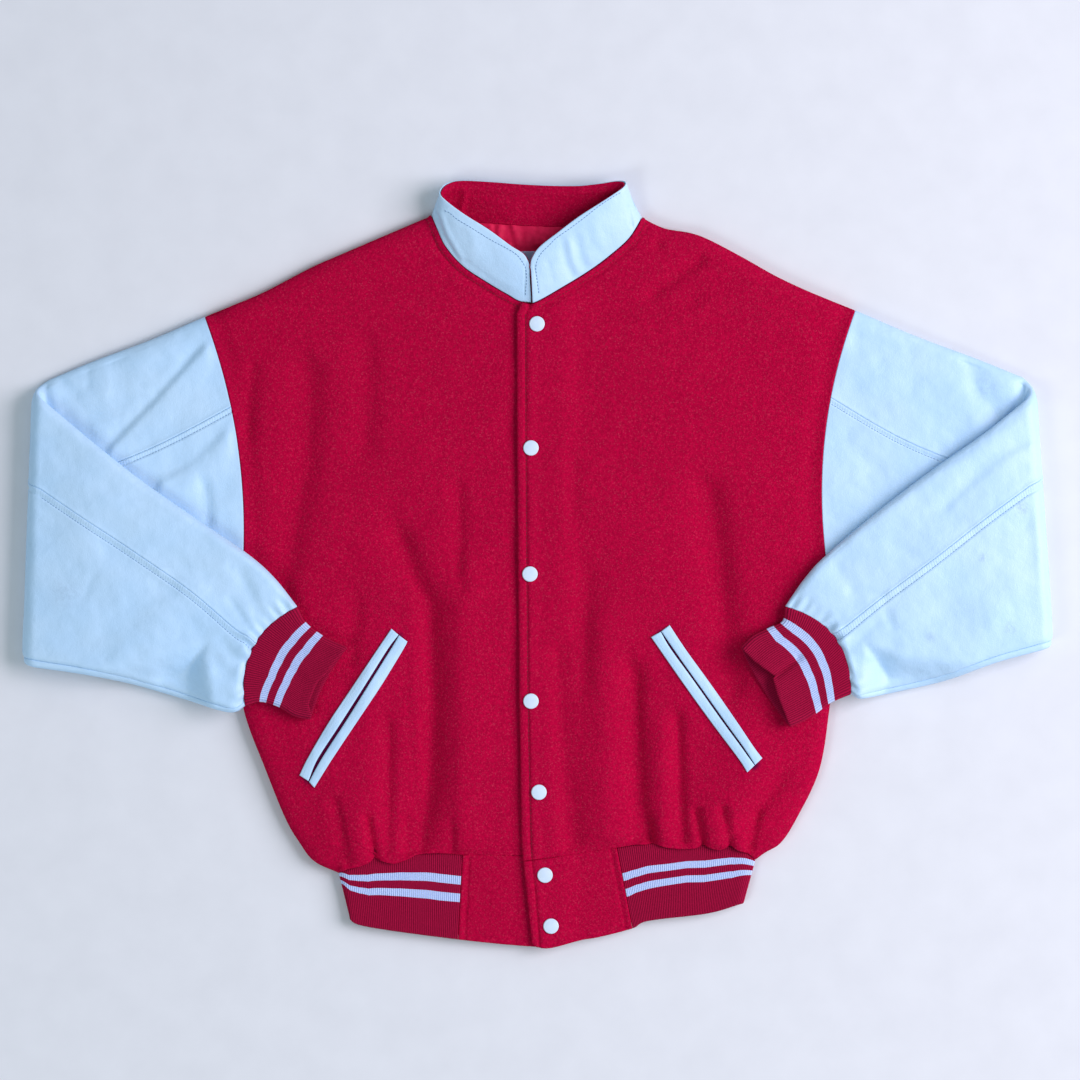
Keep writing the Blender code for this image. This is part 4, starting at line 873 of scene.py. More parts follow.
# %% Sections of the sleeves
# The columns of both tables: the top and the underarm end of a section in plan, how far it bows
# back, half the height between its walls, and how far across the front and the back seam lie.
TOP, UNDER, BOW, HALF, FRONT_SEAM, BACK_SEAM = slice(0, 2), slice(2, 4), 4, 5, 6, 7
UPPER_ARM = {
    "right": [
        (-331.5, 246.0, -296.5, -36.5, 17.0, 7.0, 0.322, 0.33),
        (-386.5, 222.5, -385.0, -60.5, 9.0, 6.8, 0.366, 0.33),
        (-441.5, 202.0, -441.5, -76.0, 4.0, 6.0, 0.39, 0.33),
        (-487.0, 183.0, -500.5, -96.0, 0.0, 4.5, 0.40, 0.33),
    ],
    "left": [
        (318.5, 252.5, 296.5, -36.5, 21.0, 7.0, 0.304, 0.33),
        (378.5, 227.0, 368.0, -60.0, 10.0, 6.8, 0.358, 0.33),
        (438.5, 204.5, 435.0, -69.0, 4.0, 6.0, 0.393, 0.33),
        (486.0, 185.5, 502.5, -78.0, 0.0, 4.5, 0.41, 0.335),
    ],
}
FOREARM = {
    "right": [
        (-493.0, 162.0, -500.5, -103.0, 0.0, 4.5, 0.40, 0.33),
        (-447.0, 123.5, -452.0, -110.0, 0.0, 6.5, 0.40, 0.345),
        (-396.5, 83.5, -404.0, -120.0, 0.0, 7.0, 0.40, 0.36),
        (-341.5, 45.0, -352.0, -135.0, 0.0, 7.0, 0.41, 0.40),
        (-289.5, 9.5, -316.0, -146.0, 0.0, 7.0, 0.43, 0.474),
        (-262.5, -14.5, -301.0, -147.5, 9.0, 7.0, 0.44, 0.455),
        (-239.5, -43.5, -291.2, -141.3, 20.0, 5.0, 0.45, 0.457),
    ],
    "left": [
        (486.0, 160.0, 503.5, -86.0, 0.0, 4.5, 0.41, 0.336),
        (447.0, 129.0, 458.0, -98.5, 0.0, 6.5, 0.41, 0.359),
        (397.0, 94.0, 410.0, -116.0, 0.0, 7.0, 0.41, 0.404),
        (345.0, 54.5, 361.0, -127.5, 0.0, 7.0, 0.42, 0.4535),
        (291.0, 9.0, 333.0, -133.0, 0.0, 7.0, 0.43, 0.487),
        (269.0, -14.5, 322.0, -134.0, 9.0, 7.0, 0.44, 0.47),
        (249.0, -43.1, 314.0, -129.2, 20.7, 5.0, 0.45, 0.455),
    ],
}
TIP_LINES = np.array([0, 0.25, 0.95, 2.1, 3.7, 5.2, 5.9, 6.5, 7.1, 7.8, 9.6, 12.4,
                      ROLL]) / ARM_CHORD
UNDERARM_LINE = 7                           # of those, the one where the underarm seam runs
SEAM_LINES = np.array([-6.0, -3.8, -2.2, -0.9, 0.0, 0.9, 2.0, 3.8, 5.8, 7.0, 7.8, 8.8, 10.5])
ON_SEAM = 4                                 # of those, the seam itself
SEAM_ROW = {"front": 5.8, "back": 7.8}      # from a sleeve's seam to its row of stitching
OVER_SEAM, UNDER_SEAM, TURNS = 26, 44, 20   # grid steps above and below the seam, and in the turn
SLEEVE_STEP = 3.0


def lower_outline():
    """Outline of what lies below the forearms: the body and the upper sleeves."""
    halves = []
    for name in ("right", "left"):
        body, arm = BODY[name], np.array(UPPER_ARM[name])
        half = np.vstack([body["shoulder"][:-1], arm[:, TOP], arm[::-1, UNDER],
                          body["side_seam"][1:], [np.array(body["band_foot"][-1])]])
        halves.append(half if name == "right" else half[::-1])
    return np.vstack(halves)


def forearm_floor(plan, outline=lower_outline()):
    """Height that a forearm rests on: level over the jacket, dropping to the floor past it."""
    return FOREARM_FLOOR * (1.0 - smooth_step((outside(plan, outline) - DROOP_START) / DROOP))


def wall_places(seam, chord):
    """Places across one wall for each section, 0 at the top fold and 1 at the underarm, with
    lines at fixed distances from the seam."""
    seam = np.asarray(seam, float)[:, None] + SEAM_LINES / chord[:, None]
    tip = np.broadcast_to(TIP_LINES, (len(seam), len(TIP_LINES)))
    stretch = np.linspace(0, 1, OVER_SEAM + 1)[None, 1:-1]
    over = TIP_LINES[-1] + stretch * (seam[:, :1] - TIP_LINES[-1])
    stretch = np.linspace(0, 1, UNDER_SEAM + 1)[None, 1:-1]
    under = seam[:, -1:] + stretch * (1 - TIP_LINES[-1] - seam[:, -1:])
    return np.hstack([tip, over, seam, under, 1 - tip[:, ::-1]])


def tube(rows, half, bows, turns, places, side, thickness):
    """Points round the sections of a flattened tube, down the front wall and up the back.
    At turn 0 a section lies on the floor, at a quarter turn it stands on edge, and at half a
    turn it lies upside down on the layer below."""
    top, under, half, turn = rows[:, TOP], rows[:, UNDER], half[:, None], turns[:, None]
    walls = []
    for wall, share, bow in zip((1.0, -1.0), places, bows):
        bow = np.reshape(bow, (len(top), -1))
        plan = ring_plan(top[:, None], under[:, None], bow, share, side, turn)
        low = thickness / 2 + half
        high = forearm_floor(plan) + thickness / 2 + half
        radius = (high - low) / 2
        offset = wall * half * roll(np.minimum(share, 1 - share), ROLL / ARM_CHORD)
        out = side * (radius - offset) * np.sin(turn)
        height = low + radius * (1 - np.cos(turn)) + offset * np.cos(turn)
        walls.append(np.stack([plan[..., 0] + out, plan[..., 1], height], axis=-1))
    return np.concatenate([walls[0], walls[1][:, ::-1][:, 1:-1]], axis=1)


def pull_back_ring(points, normals, row, columns, toward, sign=1.0):
    """Draw one end of a tube, whose front wall has the first `columns` columns, back."""
    ahead = level_across(points[row, :columns], toward)
    behind = level_across(np.vstack([points[row, columns - 1:], points[row, :1]]), toward)
    pull_back(points, normals, row, sign * np.vstack([ahead, behind[1:-1]]))


def fine_rows(table, first, last, step=STEP):
    """Fractional row numbers of a table of sections, fine at its first or last row."""
    table = np.asarray(table, float)
    run = lengths((table[:, TOP] + table[:, UNDER]) / 2)
    places = lines(run[-1], EDGE_LINES if first else (0,), EDGE_LINES if last else (0,), step)
    return np.interp(places, run, np.arange(len(run)))


def sleeve_sections(side_name):
    """All sections of a sleeve and their turns, from the armhole to the cuff."""
    upper, lower = np.array(UPPER_ARM[side_name]), np.array(FOREARM[side_name])
    share = np.linspace(0, 1, TURNS + 1)[1:-1]
    above = through(upper, fine_rows(upper, True, False, SLEEVE_STEP))
    below = through(lower, fine_rows(lower, False, True, SLEEVE_STEP))
    between = upper[-1] + share[:, None] * (lower[0] - upper[-1])
    turns = np.concatenate([np.zeros(len(above)), share * np.pi, np.full(len(below), np.pi)])
    return np.vstack([above, between, below]), turns


# %% Creases of the leather
# Those on the wall that faces up, above the elbow's fold and below it: path, width of the left
# and right flank, height.
CREASES = {
    "right": {
        "upper": [([(-331, 213), (-376, 162), (-422, 114)], 20, 4.5, 2.4),
                  ([(-336, 216), (-382, 164), (-428, 118)], 3.5, 8, -1.4),
                  ([(-424, 212), (-416, 163)], 12, 9, -1.8),
                  ([(-450, 196), (-448, 180)], 4, 5, -1.2), ([(-486, 180), (-478, 152)], 5, 5, 1.0),
                  ([(-476, 184), (-461, 170)], 4, 5, -1.2),
                  ([(-371, 80), (-351, 84), (-331, 94), (-318, 108), (-304, 134)], 6, 16, 2.8),
                  ([(-332, 80), (-327, 44)], 5, 9, -2.8)],
        "fore": [([(-296, -8), (-278, -48)], 7, 8, -2.0), ([(-306, -36), (-288, -62)], 4, 5, -1.4),
                 ([(-331, -10), (-306, -5)], 3, 4, -0.8), ([(-376, 8), (-321, -22)], 12, 8, -1.2),
                 ([(-443, -12), (-452, -36)], 4, 5, -0.9),
                 ([(-346, -26), (-411, -82)], 22, 14, 1.9),
                 ([(-371, -62), (-386, -116)], 16, 16, 1.2),
                 ([(-334, -74), (-312, -106)], 9, 10, -1.3),
                 ([(-314, -76), (-298, -98)], 5, 6, -1.0), ([(-461, 23), (-416, -36)], 16, 16, 1.1),
                 ([(-426, 15), (-366, -28)], 8, 10, -1.0), ([(-480, 90), (-400, 40)], 16, 12, 1.0),
                 ([(-372, -112), (-330, -128)], 6, 7, -1.0)],
    },
    "left": {
        "upper": [([(308, 226), (363, 216), (418, 194)], 10, 12, -1.8),
                  ([(431, 206), (441, 172), (468, 144)], 14, 8, -2.6),
                  ([(489, 184), (477, 148)], 3, 5, -2.4), ([(495, 180), (484, 146)], 5, 3, 1.6),
                  ([(288, 124), (301, 122)], 3, 3, -1.0), ([(288, 48), (299, 46)], 3, 3, -1.0),
                  ([(293, 16), (305, 14)], 3, 3, -1.2), ([(311, 124), (335, 96)], 10, 8, -1.2),
                  ([(420, 168), (452, 128)], 14, 14, 1.2)],
        "fore": [([(408, 58), (438, 89), (463, 113), (498, 127)], 9, 6, -2.0),
                 ([(313, -28), (331, -28), (347, -34)], 4, 4, -1.2),
                 ([(348, -46), (355, -64)], 4, 4, -1.0),
                 ([(393, 4), (363, -76)], 18, 18, 1.2), ([(470, 60), (380, 10)], 20, 20, 0.9),
                 ([(420, -40), (360, -78)], 14, 12, -1.0), ([(356, -84), (326, -106)], 9, 9, -1.1),
                 ([(338, -60), (320, -78)], 5, 6, -0.9), ([(470, -20), (440, -78)], 14, 14, 1.1),
                 ([(490, 40), (505, -40)], 10, 12, -0.9), ([(300, -4), (318, -34)], 7, 8, -1.2)],
    },
}
TURN_FADE = 1.2                             # radians of the elbow's turn over which they fade
GATHER_HEIGHT, GATHER_PITCH = 1.2, 13.0     # of the gathers at the cuff's seam
GATHER_PLACE, GATHER_DEPTH = 6.0, 8.0       # from the seam to their middle, and their reach
HIDDEN_FROM = 405.0                         # past it the forearm hides the upper arm's seam


def leather_relief(side_name, points, turns, columns):
    """Lift of the leather along its normals: creases on the wall that faces up, gathers that
    fade away from the cuff's seam, and a slight slackness everywhere."""
    plan = points[..., :2]
    facing = np.zeros(points.shape[:2])
    front = np.arange(points.shape[1]) < columns
    facing[:, front] = smooth_step(1 - turns / TURN_FADE)[:, None]
    fore = np.zeros(points.shape[:2])
    fore[:, ~front] = smooth_step((turns - np.pi + TURN_FADE) / TURN_FADE)[:, None]
    lift = creases(plan, CREASES[side_name]["upper"]) * facing
    lift += creases(plan, CREASES[side_name]["fore"]) * fore
    from_cuff = line_lengths(points[::-1], 0)[::-1]
    around = line_lengths(points[-2:], 1)[-1]
    gathers = np.sin(2 * np.pi * (around / GATHER_PITCH + 0.5 * np.sin(around / 17.0)))
    gathers = gathers * (1.0 + 0.7 * np.sin(around / 9.5 + 1.0))
    reach = np.exp(-((from_cuff - GATHER_PLACE) / GATHER_DEPTH) ** 2)
    lift += GATHER_HEIGHT * gathers * reach * np.maximum(fore, 0.3)
    slack = 0.36 * soft_waves(points, 52.0, 11) + 0.16 * soft_waves(points, 19.0, 12)
    lift += slack * np.maximum(np.maximum(facing, fore), 0.25)
    tip = np.minimum(*(np.abs(np.arange(points.shape[1]) - k) for k in (0, columns - 1)))
    fold = np.minimum(tip, points.shape[1] - np.arange(points.shape[1]))
    return lift * smooth_step(fold / 9.0) * smooth_step(line_lengths(points, 0) / 12.0)


seam_rows = {}                              # where rows of stitching show on the sleeves


def at_distance(points, run, distance):
    """The point of each grid line that lies at a distance along it."""
    row = np.arange(len(run))
    after = np.clip((run < distance).sum(1), 1, run.shape[1] - 1)
    share = (distance - run[row, after - 1]) / (run[row, after] - run[row, after - 1])
    start = points[row, after - 1]
    return start + share[:, None] * (points[row, after] - start)


def add_sleeve(side_name):
    """A sleeve in three pieces, cut from one tube at its front, back and underarm seams."""
    side = BODY[side_name]["side"]
    rows, turns = sleeve_sections(side_name)
    chord = np.linalg.norm(rows[:, UNDER] - rows[:, TOP], axis=1)
    places = [wall_places(rows[:, seam], chord) for seam in (FRONT_SEAM, BACK_SEAM)]
    points = tube(rows, rows[:, HALF], [rows[:, BOW]] * 2, turns, places, side, LEATHER)
    normals = grid_normals(points, -side, closed=True)
    columns, around = places[0].shape[1], points.shape[1]
    for row, sign, toward in ((0, -1.0, np.zeros(2)), (-1, 1.0, points[-1, 0])):
        pull_back_ring(points, normals, row, columns, toward, sign)
    lift = leather_relief(side_name, points, turns, columns)
    front_seam = len(TIP_LINES) + OVER_SEAM - 1 + ON_SEAM
    underarm = columns - 1 + UNDERARM_LINE
    back_seam = columns - 1 + (columns - 1 - front_seam)
    cuts = {"top": np.arange(back_seam, around + front_seam + 1) % around,
            "front": np.arange(front_seam, underarm + 1),
            "back": np.arange(underarm, back_seam + 1)}
    round_about = tangents(points, 1, closed=True)
    for part, take in cuts.items():
        grid, outs, raised = points[:, take].copy(), normals[:, take].copy(), lift[:, take].copy()
        across = line_lengths(grid, 1)
        from_seam = {"top": np.minimum(across, across[:, -1:] - across), "front": across,
                     "back": across[:, -1:] - across}[part]
        along_seam = line_lengths(grid, 0)
        if part == "top":
            raised += 0.8 * np.exp(-(from_seam / 2.4) ** 2)
            from_seam = 0.0 * from_seam
        else:
            stitched = SEAM_ROW[part]
            raised += np.interp(from_seam, [0.0, 1.5, stitched, stitched + 1.1, stitched + 4.0],
                                [0.5, 0.7, -0.8, 0.2, 0.0])
            raised += groove(across[:, -1:] - from_seam, 0.0, 1.1, 2.6)
            order = slice(None) if part == "front" else slice(None, None, -1)
            row = at_distance(grid[:, order, :2], from_seam[:, order], stitched)
            shown = turns == np.pi
            if part == "front":
                shown = (turns == 0) & (np.abs(row[:, 0]) < HIDDEN_FROM)
            seam_rows[f"sleeve_{side_name}_{part}"] = row[shown]
        pull_back(grid, outs, (slice(None), 0), round_about[:, take[0]])
        pull_back(grid, outs, (slice(None), -1), -round_about[:, take[-1]])
        add_wall(f"sleeve_{side_name}_{part}", grid, outs, LEATHER, leather, lift=raised,
                 fields={"from_seam": from_seam, "along_seam": along_seam}, bend=0.3)


for side_name in BODY:
    add_sleeve(side_name)

# %% [markdown]
# ## Cuffs
# A cuff is a tube of rib knit. The wales run along it, so they are columns of the grid: the
# outer face stands out by |sin| once for every wale. Modelled wales catch the light at the
# edge of the cuff, which a bump map cannot do. The two knitted stripes are a field on the
# mesh, measured along the tube, which the material turns into colour.

# %% Cuffs
# The columns after a section's two ends: how far the lower and the upper wall bow, and half the
# height between them.
LOWER_BOW, UPPER_BOW, CUFF_HALF = 4, slice(5, 6), 6
CUFF = {
    "right": [
        (-239.5, -43.5, -291.2, -141.3, 20.0, 20.0, 5.0),
        (-231.0, -59.5, -275.5, -137.0, 10.0, 7.0, 5.0),
        (-214.5, -72.5, -256.5, -142.5, 6.0, 4.0, 5.0),
        (-201.5, -79.0, -241.5, -151.5, 5.0, 6.0, 5.0),
        (-188.9, -84.5, -225.5, -155.0, 4.0, 10.0, 5.5),
    ],
    "left": [
        (249.0, -43.1, 314.0, -129.2, 20.7, 20.7, 5.0),
        (246.5, -58.0, 292.5, -138.5, 14.0, 12.0, 5.0),
        (231.5, -65.5, 280.5, -147.5, 9.0, 11.0, 5.0),
        (215.5, -73.5, 266.5, -156.5, 3.0, 12.0, 5.5),
        (204.3, -84.5, 252.5, -162.5, -3.0, 13.0, 6.5),
    ],
}
CUFF_WALES = 48
# Where the first stripe begins and how wide it is, as shares of the cuff's depth, from the
# upper fold to the underarm fold.
CUFF_STRIPES = {
    "right": [(0.0, 0.26, 0.108), (0.25, 0.312, 0.107), (0.52, 0.342, 0.106), (0.72, 0.33, 0.104),
              (0.92, 0.242, 0.104), (1.0, 0.215, 0.10)],
    "left": [(0.0, 0.175, 0.11), (0.15, 0.20, 0.125), (0.38, 0.242, 0.118), (0.6, 0.259, 0.108),
             (0.83, 0.267, 0.105), (1.0, 0.259, 0.105)],
}
# How far the upper lip is set back, in millimetres, from the upper fold to the underarm fold.
CUFF_LIPS = {
    "right": [(0.0, 0.0), (0.151, 3.5), (0.345, 5.6), (0.54, 10.3), (0.647, 10.2), (0.77, 9.3),
              (0.85, 8.2), (0.92, 3.4), (0.95, 0.5), (1.0, 0.0)],
    "left": [(0.0, 0.0), (0.192, 4.2), (0.321, 8.7), (0.412, 12.5), (0.452, 14.8), (0.473, 10.7),
             (0.631, 6.3), (0.853, 2.6), (1.0, 0.0)],
}
CUFF_CREASES = {
    "right": [([(-236, -112), (-258, -97)], 6, 6, -1.2), ([(-222, -88), (-248, -66)], 6, 7, 0.8)],
    "left": [([(238.8, -111.9), (261.5, -94.5)], 4, 4, -3.6),
             ([(243, -126), (276, -106)], 6, 6, 1.0), ([(226, -97), (252, -74)], 6, 7, 0.9)],
}


def add_cuff(side_name):
    """A cuff: a flattened tube with wales along it, open at the hand."""
    side, table = BODY[side_name]["side"], np.array(CUFF[side_name])
    where = fine_rows(table, True, True, 2.6)
    rows = through(table, where)
    count = CUFF_WALES * RIB_COLUMNS
    share = np.linspace(0, 1, count + 1)
    set_back = np.interp(share, *np.array(CUFF_LIPS[side_name]).T)
    lip = set_back / np.maximum(4 * share * (1 - share), 1e-6)
    near_lip = smooth_step(where - (len(table) - 2))[:, None]
    upper_bow = rows[:, UPPER_BOW] + near_lip * (lip - rows[:, UPPER_BOW])
    even = np.broadcast_to(share, (len(rows), count + 1))
    points = tube(rows, rows[:, CUFF_HALF], (rows[:, LOWER_BOW], upper_bow),
                  np.full(len(rows), np.pi), (even, even), side, KNIT)
    normals = grid_normals(points, -side, closed=True)
    pull_back_ring(points, normals, 0, count + 1, points[-1, 0])
    column = np.arange(points.shape[1])
    wale = np.abs(np.sin(np.pi * column / RIB_COLUMNS)) * np.ones((len(rows), 1))
    across = np.abs(np.where(column <= count, column, 2 * count - column)) / count
    depth, stripes = line_lengths(points, 0), np.array(CUFF_STRIPES[side_name])
    whole = np.interp(stripes[:, 0], across[:count - 1:-1], depth[-1, :count - 1:-1])
    start, width = (np.interp(across, stripes[:, 0], stripes[:, k] * whole) for k in (1, 2))
    stripe = (depth - start) / width
    lift = creases(points, CUFF_CREASES[side_name]) * (column > count)
    lift = lift * smooth_step(np.minimum(column - count, 2 * count - column) / 30.0)
    return add_wall(f"cuff_{side_name}", points, normals, KNIT, knit, closed=True, lift=lift,
                    ribs=RIB_HEIGHT * (wale - 0.5), fields={"wale": wale, "stripe": stripe})


for side_name in BODY:
    add_cuff(side_name)

# %% [markdown]
# ## Waistband
# The ribbed band runs round the back from one wool block to the other and is folded at both
# sides with the body. It is one strip: columns along it, a few rows from its seam to its foot.
# Its top edge lies under the bulging hem of the fronts, so there it dips a little.

# %% Waistband
# Along the band from its block to its side: where the first stripe begins and its width,
# as shares of the band's depth there.
BAND_STRIPES = {
    "right": [(0.0, 0.25, 0.10), (0.17, 0.243, 0.103), (0.33, 0.228, 0.103), (0.5, 0.226, 0.10),
              (0.65, 0.244, 0.095), (0.76, 0.244, 0.095), (0.84, 0.205, 0.093), (0.92, 0.14, 0.09),
              (1.0, 0.0, 0.08)],
    "left": [(0.0, 0.315, 0.095), (0.12, 0.312, 0.094), (0.2, 0.287, 0.096), (0.34, 0.27, 0.093),
             (0.49, 0.238, 0.095), (0.63, 0.235, 0.099), (0.78, 0.203, 0.103), (0.85, 0.175, 0.106),
             (0.92, 0.109, 0.105), (1.0, 0.04, 0.10)],
}
BAND_DEPTH, BAND_GRID = 80.0, 4.2           # from seam to foot, and the grid step over it
BLOCK_DEPTH, BLOCK_GRID = 84.0, 2.8
BELOW = (0.0, -400.0)                       # a point below the jacket
SEAM_DIP, DIP_SHARE = 1.6, 0.1              # of the band's upper edge, under the bulging hem


def band_height(share, from_corner, layer, thickness):
    """Height of the middle of the band: `share` is 0 at its seam and 1 at its foot."""
    half = HEM_HALF + (RIB_END_HALF - HEM_HALF) * share
    width = ROLL + (BAND_ROLL - ROLL) * share
    return thickness / 2 + half * (1.0 + layer * roll(from_corner, width))


def block_edge(body):
    """The line along which a block meets the rib, from its seam to its foot."""
    return np.array([body["rib_seam"][0], body["block_foot"]])


def stretch_of(path, point):
    """The part of a path from the place nearest a point to its end."""
    near = np.linalg.norm(path - np.array(point), axis=1).argmin()
    return path[near:]


def add_waistband():
    """The ribbed part of the waistband."""
    tops, feet, corner, layers, wales, stripes = [], [], [], [], [], []
    for name, body in BODY.items():
        seam = rounded(body["rib_seam"])
        foot = stretch_of(rounded(body["band_foot"]), body["block_foot"])
        count = int(round(lengths(seam)[-1] / RIB_PITCH))
        share = np.linspace(0, 1, count * RIB_COLUMNS + 1)
        order = slice(None) if name == "right" else slice(None, None, -1)
        tops.append(along(seam, share * lengths(seam)[-1])[order])
        feet.append(along(foot, share * lengths(foot)[-1])[order])
        corner.append(((1 - share) * lengths(seam)[-1])[order])
        layers.append(np.ones(len(share)))
        wales.append(np.abs(np.sin(np.pi * np.arange(len(share)) / RIB_COLUMNS))[order])
        stripes.append(np.array([np.interp(share, *np.array(BAND_STRIPES[name])[:, [0, k]].T)
                                 for k in (1, 2)])[:, order])
    hem, foot = rounded(BACK_HEM), rounded(BACK_BAND_FOOT)
    length = lengths(hem)[-1]
    back = lines(length, FOLD_LINES, FOLD_LINES, BACK_STEP)[1:-1]
    top = np.vstack([tops[0], along(hem, back), tops[1]])
    low = np.vstack([feet[0], along(foot, back * lengths(foot)[-1] / length), feet[1]])
    from_corner = np.concatenate([corner[0], np.minimum(back, length - back), corner[1]])
    layer = np.concatenate([layers[0], -np.ones(len(back)), layers[1]])
    wale = np.concatenate([wales[0], np.zeros(len(back)), wales[1]])
    flat_stripe = np.repeat(stripes[0][:, -1:], len(back), axis=1)
    start, width = np.hstack([stripes[0], flat_stripe, stripes[1]])
    share = shares(BAND_DEPTH, BAND_GRID)[:, None]
    plan = top + share[..., None] * (low - top)
    height = band_height(share, from_corner, layer, KNIT)
    dip = 1 - smooth_step(share / DIP_SHARE)
    height = height - SEAM_DIP * np.maximum(layer, 0) * roll(from_corner) * dip
    points = with_height(plan, height)
    normals = grid_normals(points, -1.0)
    first, last = len(tops[0]) - 1, len(points[0]) - len(tops[1])
    into = np.vstack([level_across(points[0, :first + 1], BELOW),
                      level_across(points[0, first:last + 1], BELOW)[1:-1],
                      level_across(points[0, last:], BELOW)])
    pull_back(points, normals, (0, slice(None)), into)
    for column, body in ((0, BODY["right"]), (-1, BODY["left"])):
        across = level_across(block_edge(body), (body["side"] * 150.0, -330.0))[0]
        pull_back(points, normals, (slice(None), column), across)
    wale = wale * np.ones((len(points), 1))
    return add_wall("waistband_rib", points, normals, KNIT, knit,
                    ribs=RIB_HEIGHT * (wale - 0.5) * (layer > 0),
                    fields={"wale": np.where(layer > 0, wale, 0.6),
                            "stripe": (share - start) / width})


add_waistband()


# %% Waistband blocks
def add_block(side_name):
    """A wool block that ends the waistband at the centre front, with its sewn edges."""
    body = BODY[side_name]
    hem, foot = rounded(body["hem"]), rounded(body["band_foot"])
    ends = [np.linalg.norm(path - point, axis=1).argmin() + 1
            for path, point in zip((hem, foot), block_edge(body))]
    hem, foot = hem[:ends[0]], foot[:ends[1]]
    across = lines(lengths(hem)[-1], FRONT_LINES, FRONT_LINES[:-1], BLOCK_GRID)
    top = along(hem, across)
    low = along(foot, across * lengths(foot)[-1] / across[-1])
    share = shares(BLOCK_DEPTH, BLOCK_GRID)
    plan = top + share[:, None, None] * (low - top)
    height = band_height(share[:, None], 10 * ROLL, 1.0, WOOL) * np.ones(plan.shape[:2])
    if side_name == "left":
        height = height + lap_lift(plan)
    points = with_height(plan, height)
    normals = facing_up(grid_normals(points, body["side"]))
    pull_back(points, normals, (0, slice(None)), level_across(points[0], BELOW))
    from_rib = level_across(block_edge(body), (0.0, -330.0))[0]
    pull_back(points, normals, (slice(None), -1), from_rib)
    run = line_lengths(points, 1)
    to_rib, to_foot = run[:, -1:] - run, line_lengths(points[::-1], 0)[::-1]
    lift = groove(to_rib, 6.5, 1.3, 1.5) + 0.9 * smooth_step(1.3 - to_rib / 6.0)
    lift += groove(to_foot, 5.0, 0.7, 1.3) + 0.1 * soft_waves(plan, 22.0, 21)
    lift += opening_lift(side_name, plan, run)
    return add_wall(f"waistband_block_{side_name}", points, normals, WOOL, wool,
                    lift=lift * smooth_step(share / 0.01)[:, None])


for side_name in BODY:
    add_block(side_name)

# %% [markdown]
# ## Collar
# The stand collar has a leather outside and a wool inside. It stands up from the neckline and
# leans in over the neck, lower at the back. The table follows its upper edge from the
# wearer's right end round the back to the left end. A straight line from the seam to that
# edge, bulged a little, is enough, because a stand collar is stiff.

# %% Collar
COLLAR = [  # place along the neckline 0 to 1, the upper edge above it, and the bulge
    (0.000, -6.9, 299.0, 27.0, 2.0), (0.020, -13.0, 309.0, 28.5, 2.5),
    (0.053, -26.0, 317.5, 30.0, 3.0), (0.103, -48.0, 333.5, 31.5, 3.0),
    (0.160, -72.0, 348.5, 32.0, 2.5), (0.212, -89.5, 361.5, 31.0, 1.5),
    (0.247, -96.5, 369.5, 28.0, 0.5), (0.278, -94.0, 376.5, 22.5, 0.0),
    (0.302, -87.0, 381.0, 17.5, 0.5), (0.337, -75.0, 383.0, 15.0, 1.5),
    (0.384, -49.0, 382.0, 14.0, 2.0), (0.493, -2.6, 378.7, 14.0, 2.0),
    (0.580, 38.0, 377.8, 14.0, 2.0), (0.644, 63.0, 380.0, 15.0, 1.5),
    (0.684, 80.5, 382.5, 18.0, 0.5), (0.709, 88.5, 381.5, 23.0, -1.0),
    (0.723, 87.5, 376.5, 27.0, -1.0), (0.740, 79.0, 370.0, 30.0, 0.5),
    (0.765, 63.0, 359.5, 32.0, 1.5), (0.817, 42.0, 346.0, 32.5, 2.5),
    (0.866, 22.0, 331.0, 32.0, 3.0), (0.926, 3.0, 316.0, 31.0, 3.0),
    (0.965, -4.6, 304.5, 30.0, 2.5), (1.000, -6.0, 296.0, 29.0, 2.0),
]
NECK_POINTS = (0.283, 0.712)                # places of the shoulders' neck ends
COLLAR_ENDS = {"right": -5.0, "left": -3.9}
NECK_INSET, INNER_START = 0.8, -0.03
COLLAR_COLUMNS = 14                         # grid columns for each row of the table
ROW_LENGTH, COLLAR_HEIGHT = 9.0, 45.0       # about one row's length, and the leather's height
COLLAR_CREASES = [
    ([(-99.5, 350), (-92, 328), (-78, 303)], 1.5, 1.8, -1.4),
    ([(-96, 350), (-88, 329), (-75, 306)], 2, 5, 0.9), ([(92.5, 356), (95.5, 337)], 1.5, 2, -1.0),
    ([(27, 322), (30, 300), (38, 284)], 3, 5, -1.2),
    ([(40, 324), (44, 306), (51, 292)], 4, 6, -1.2), ([(33, 318), (37, 302), (44, 288)], 4, 4, 0.9),
    ([(58, 336), (64, 318)], 5, 5, 0.8), ([(12, 300), (16, 284)], 4, 5, -0.8),
    ([(-48, 318), (-40, 296)], 6, 8, -0.7), ([(-66, 334), (-60, 312)], 6, 6, 0.6),
]
INNER_CREASES = [([(-71, 372), (-76, 352)], 3, 4, -1.8), ([(-20, 372), (-26, 345)], 6, 8, -0.5),
                 ([(44, 372), (50, 346)], 6, 8, -0.6)]


def neck_loop():
    """The neckline from the wearer's right front round the back to the left front."""
    fronts = {}
    for name, end in COLLAR_ENDS.items():
        path, side = rounded(BODY[name]["neckline"]), BODY[name]["side"]
        first = np.argmax(path[:, 0] * side > end * side)
        share = (end - path[first - 1, 0]) / (path[first, 0] - path[first - 1, 0])
        start = path[first - 1] + share * (path[first] - path[first - 1])
        fronts[name] = np.vstack([start, path[first:]])
    return np.vstack([fronts["right"], rounded(BACK_NECKLINE)[1:-1], fronts["left"][::-1]])


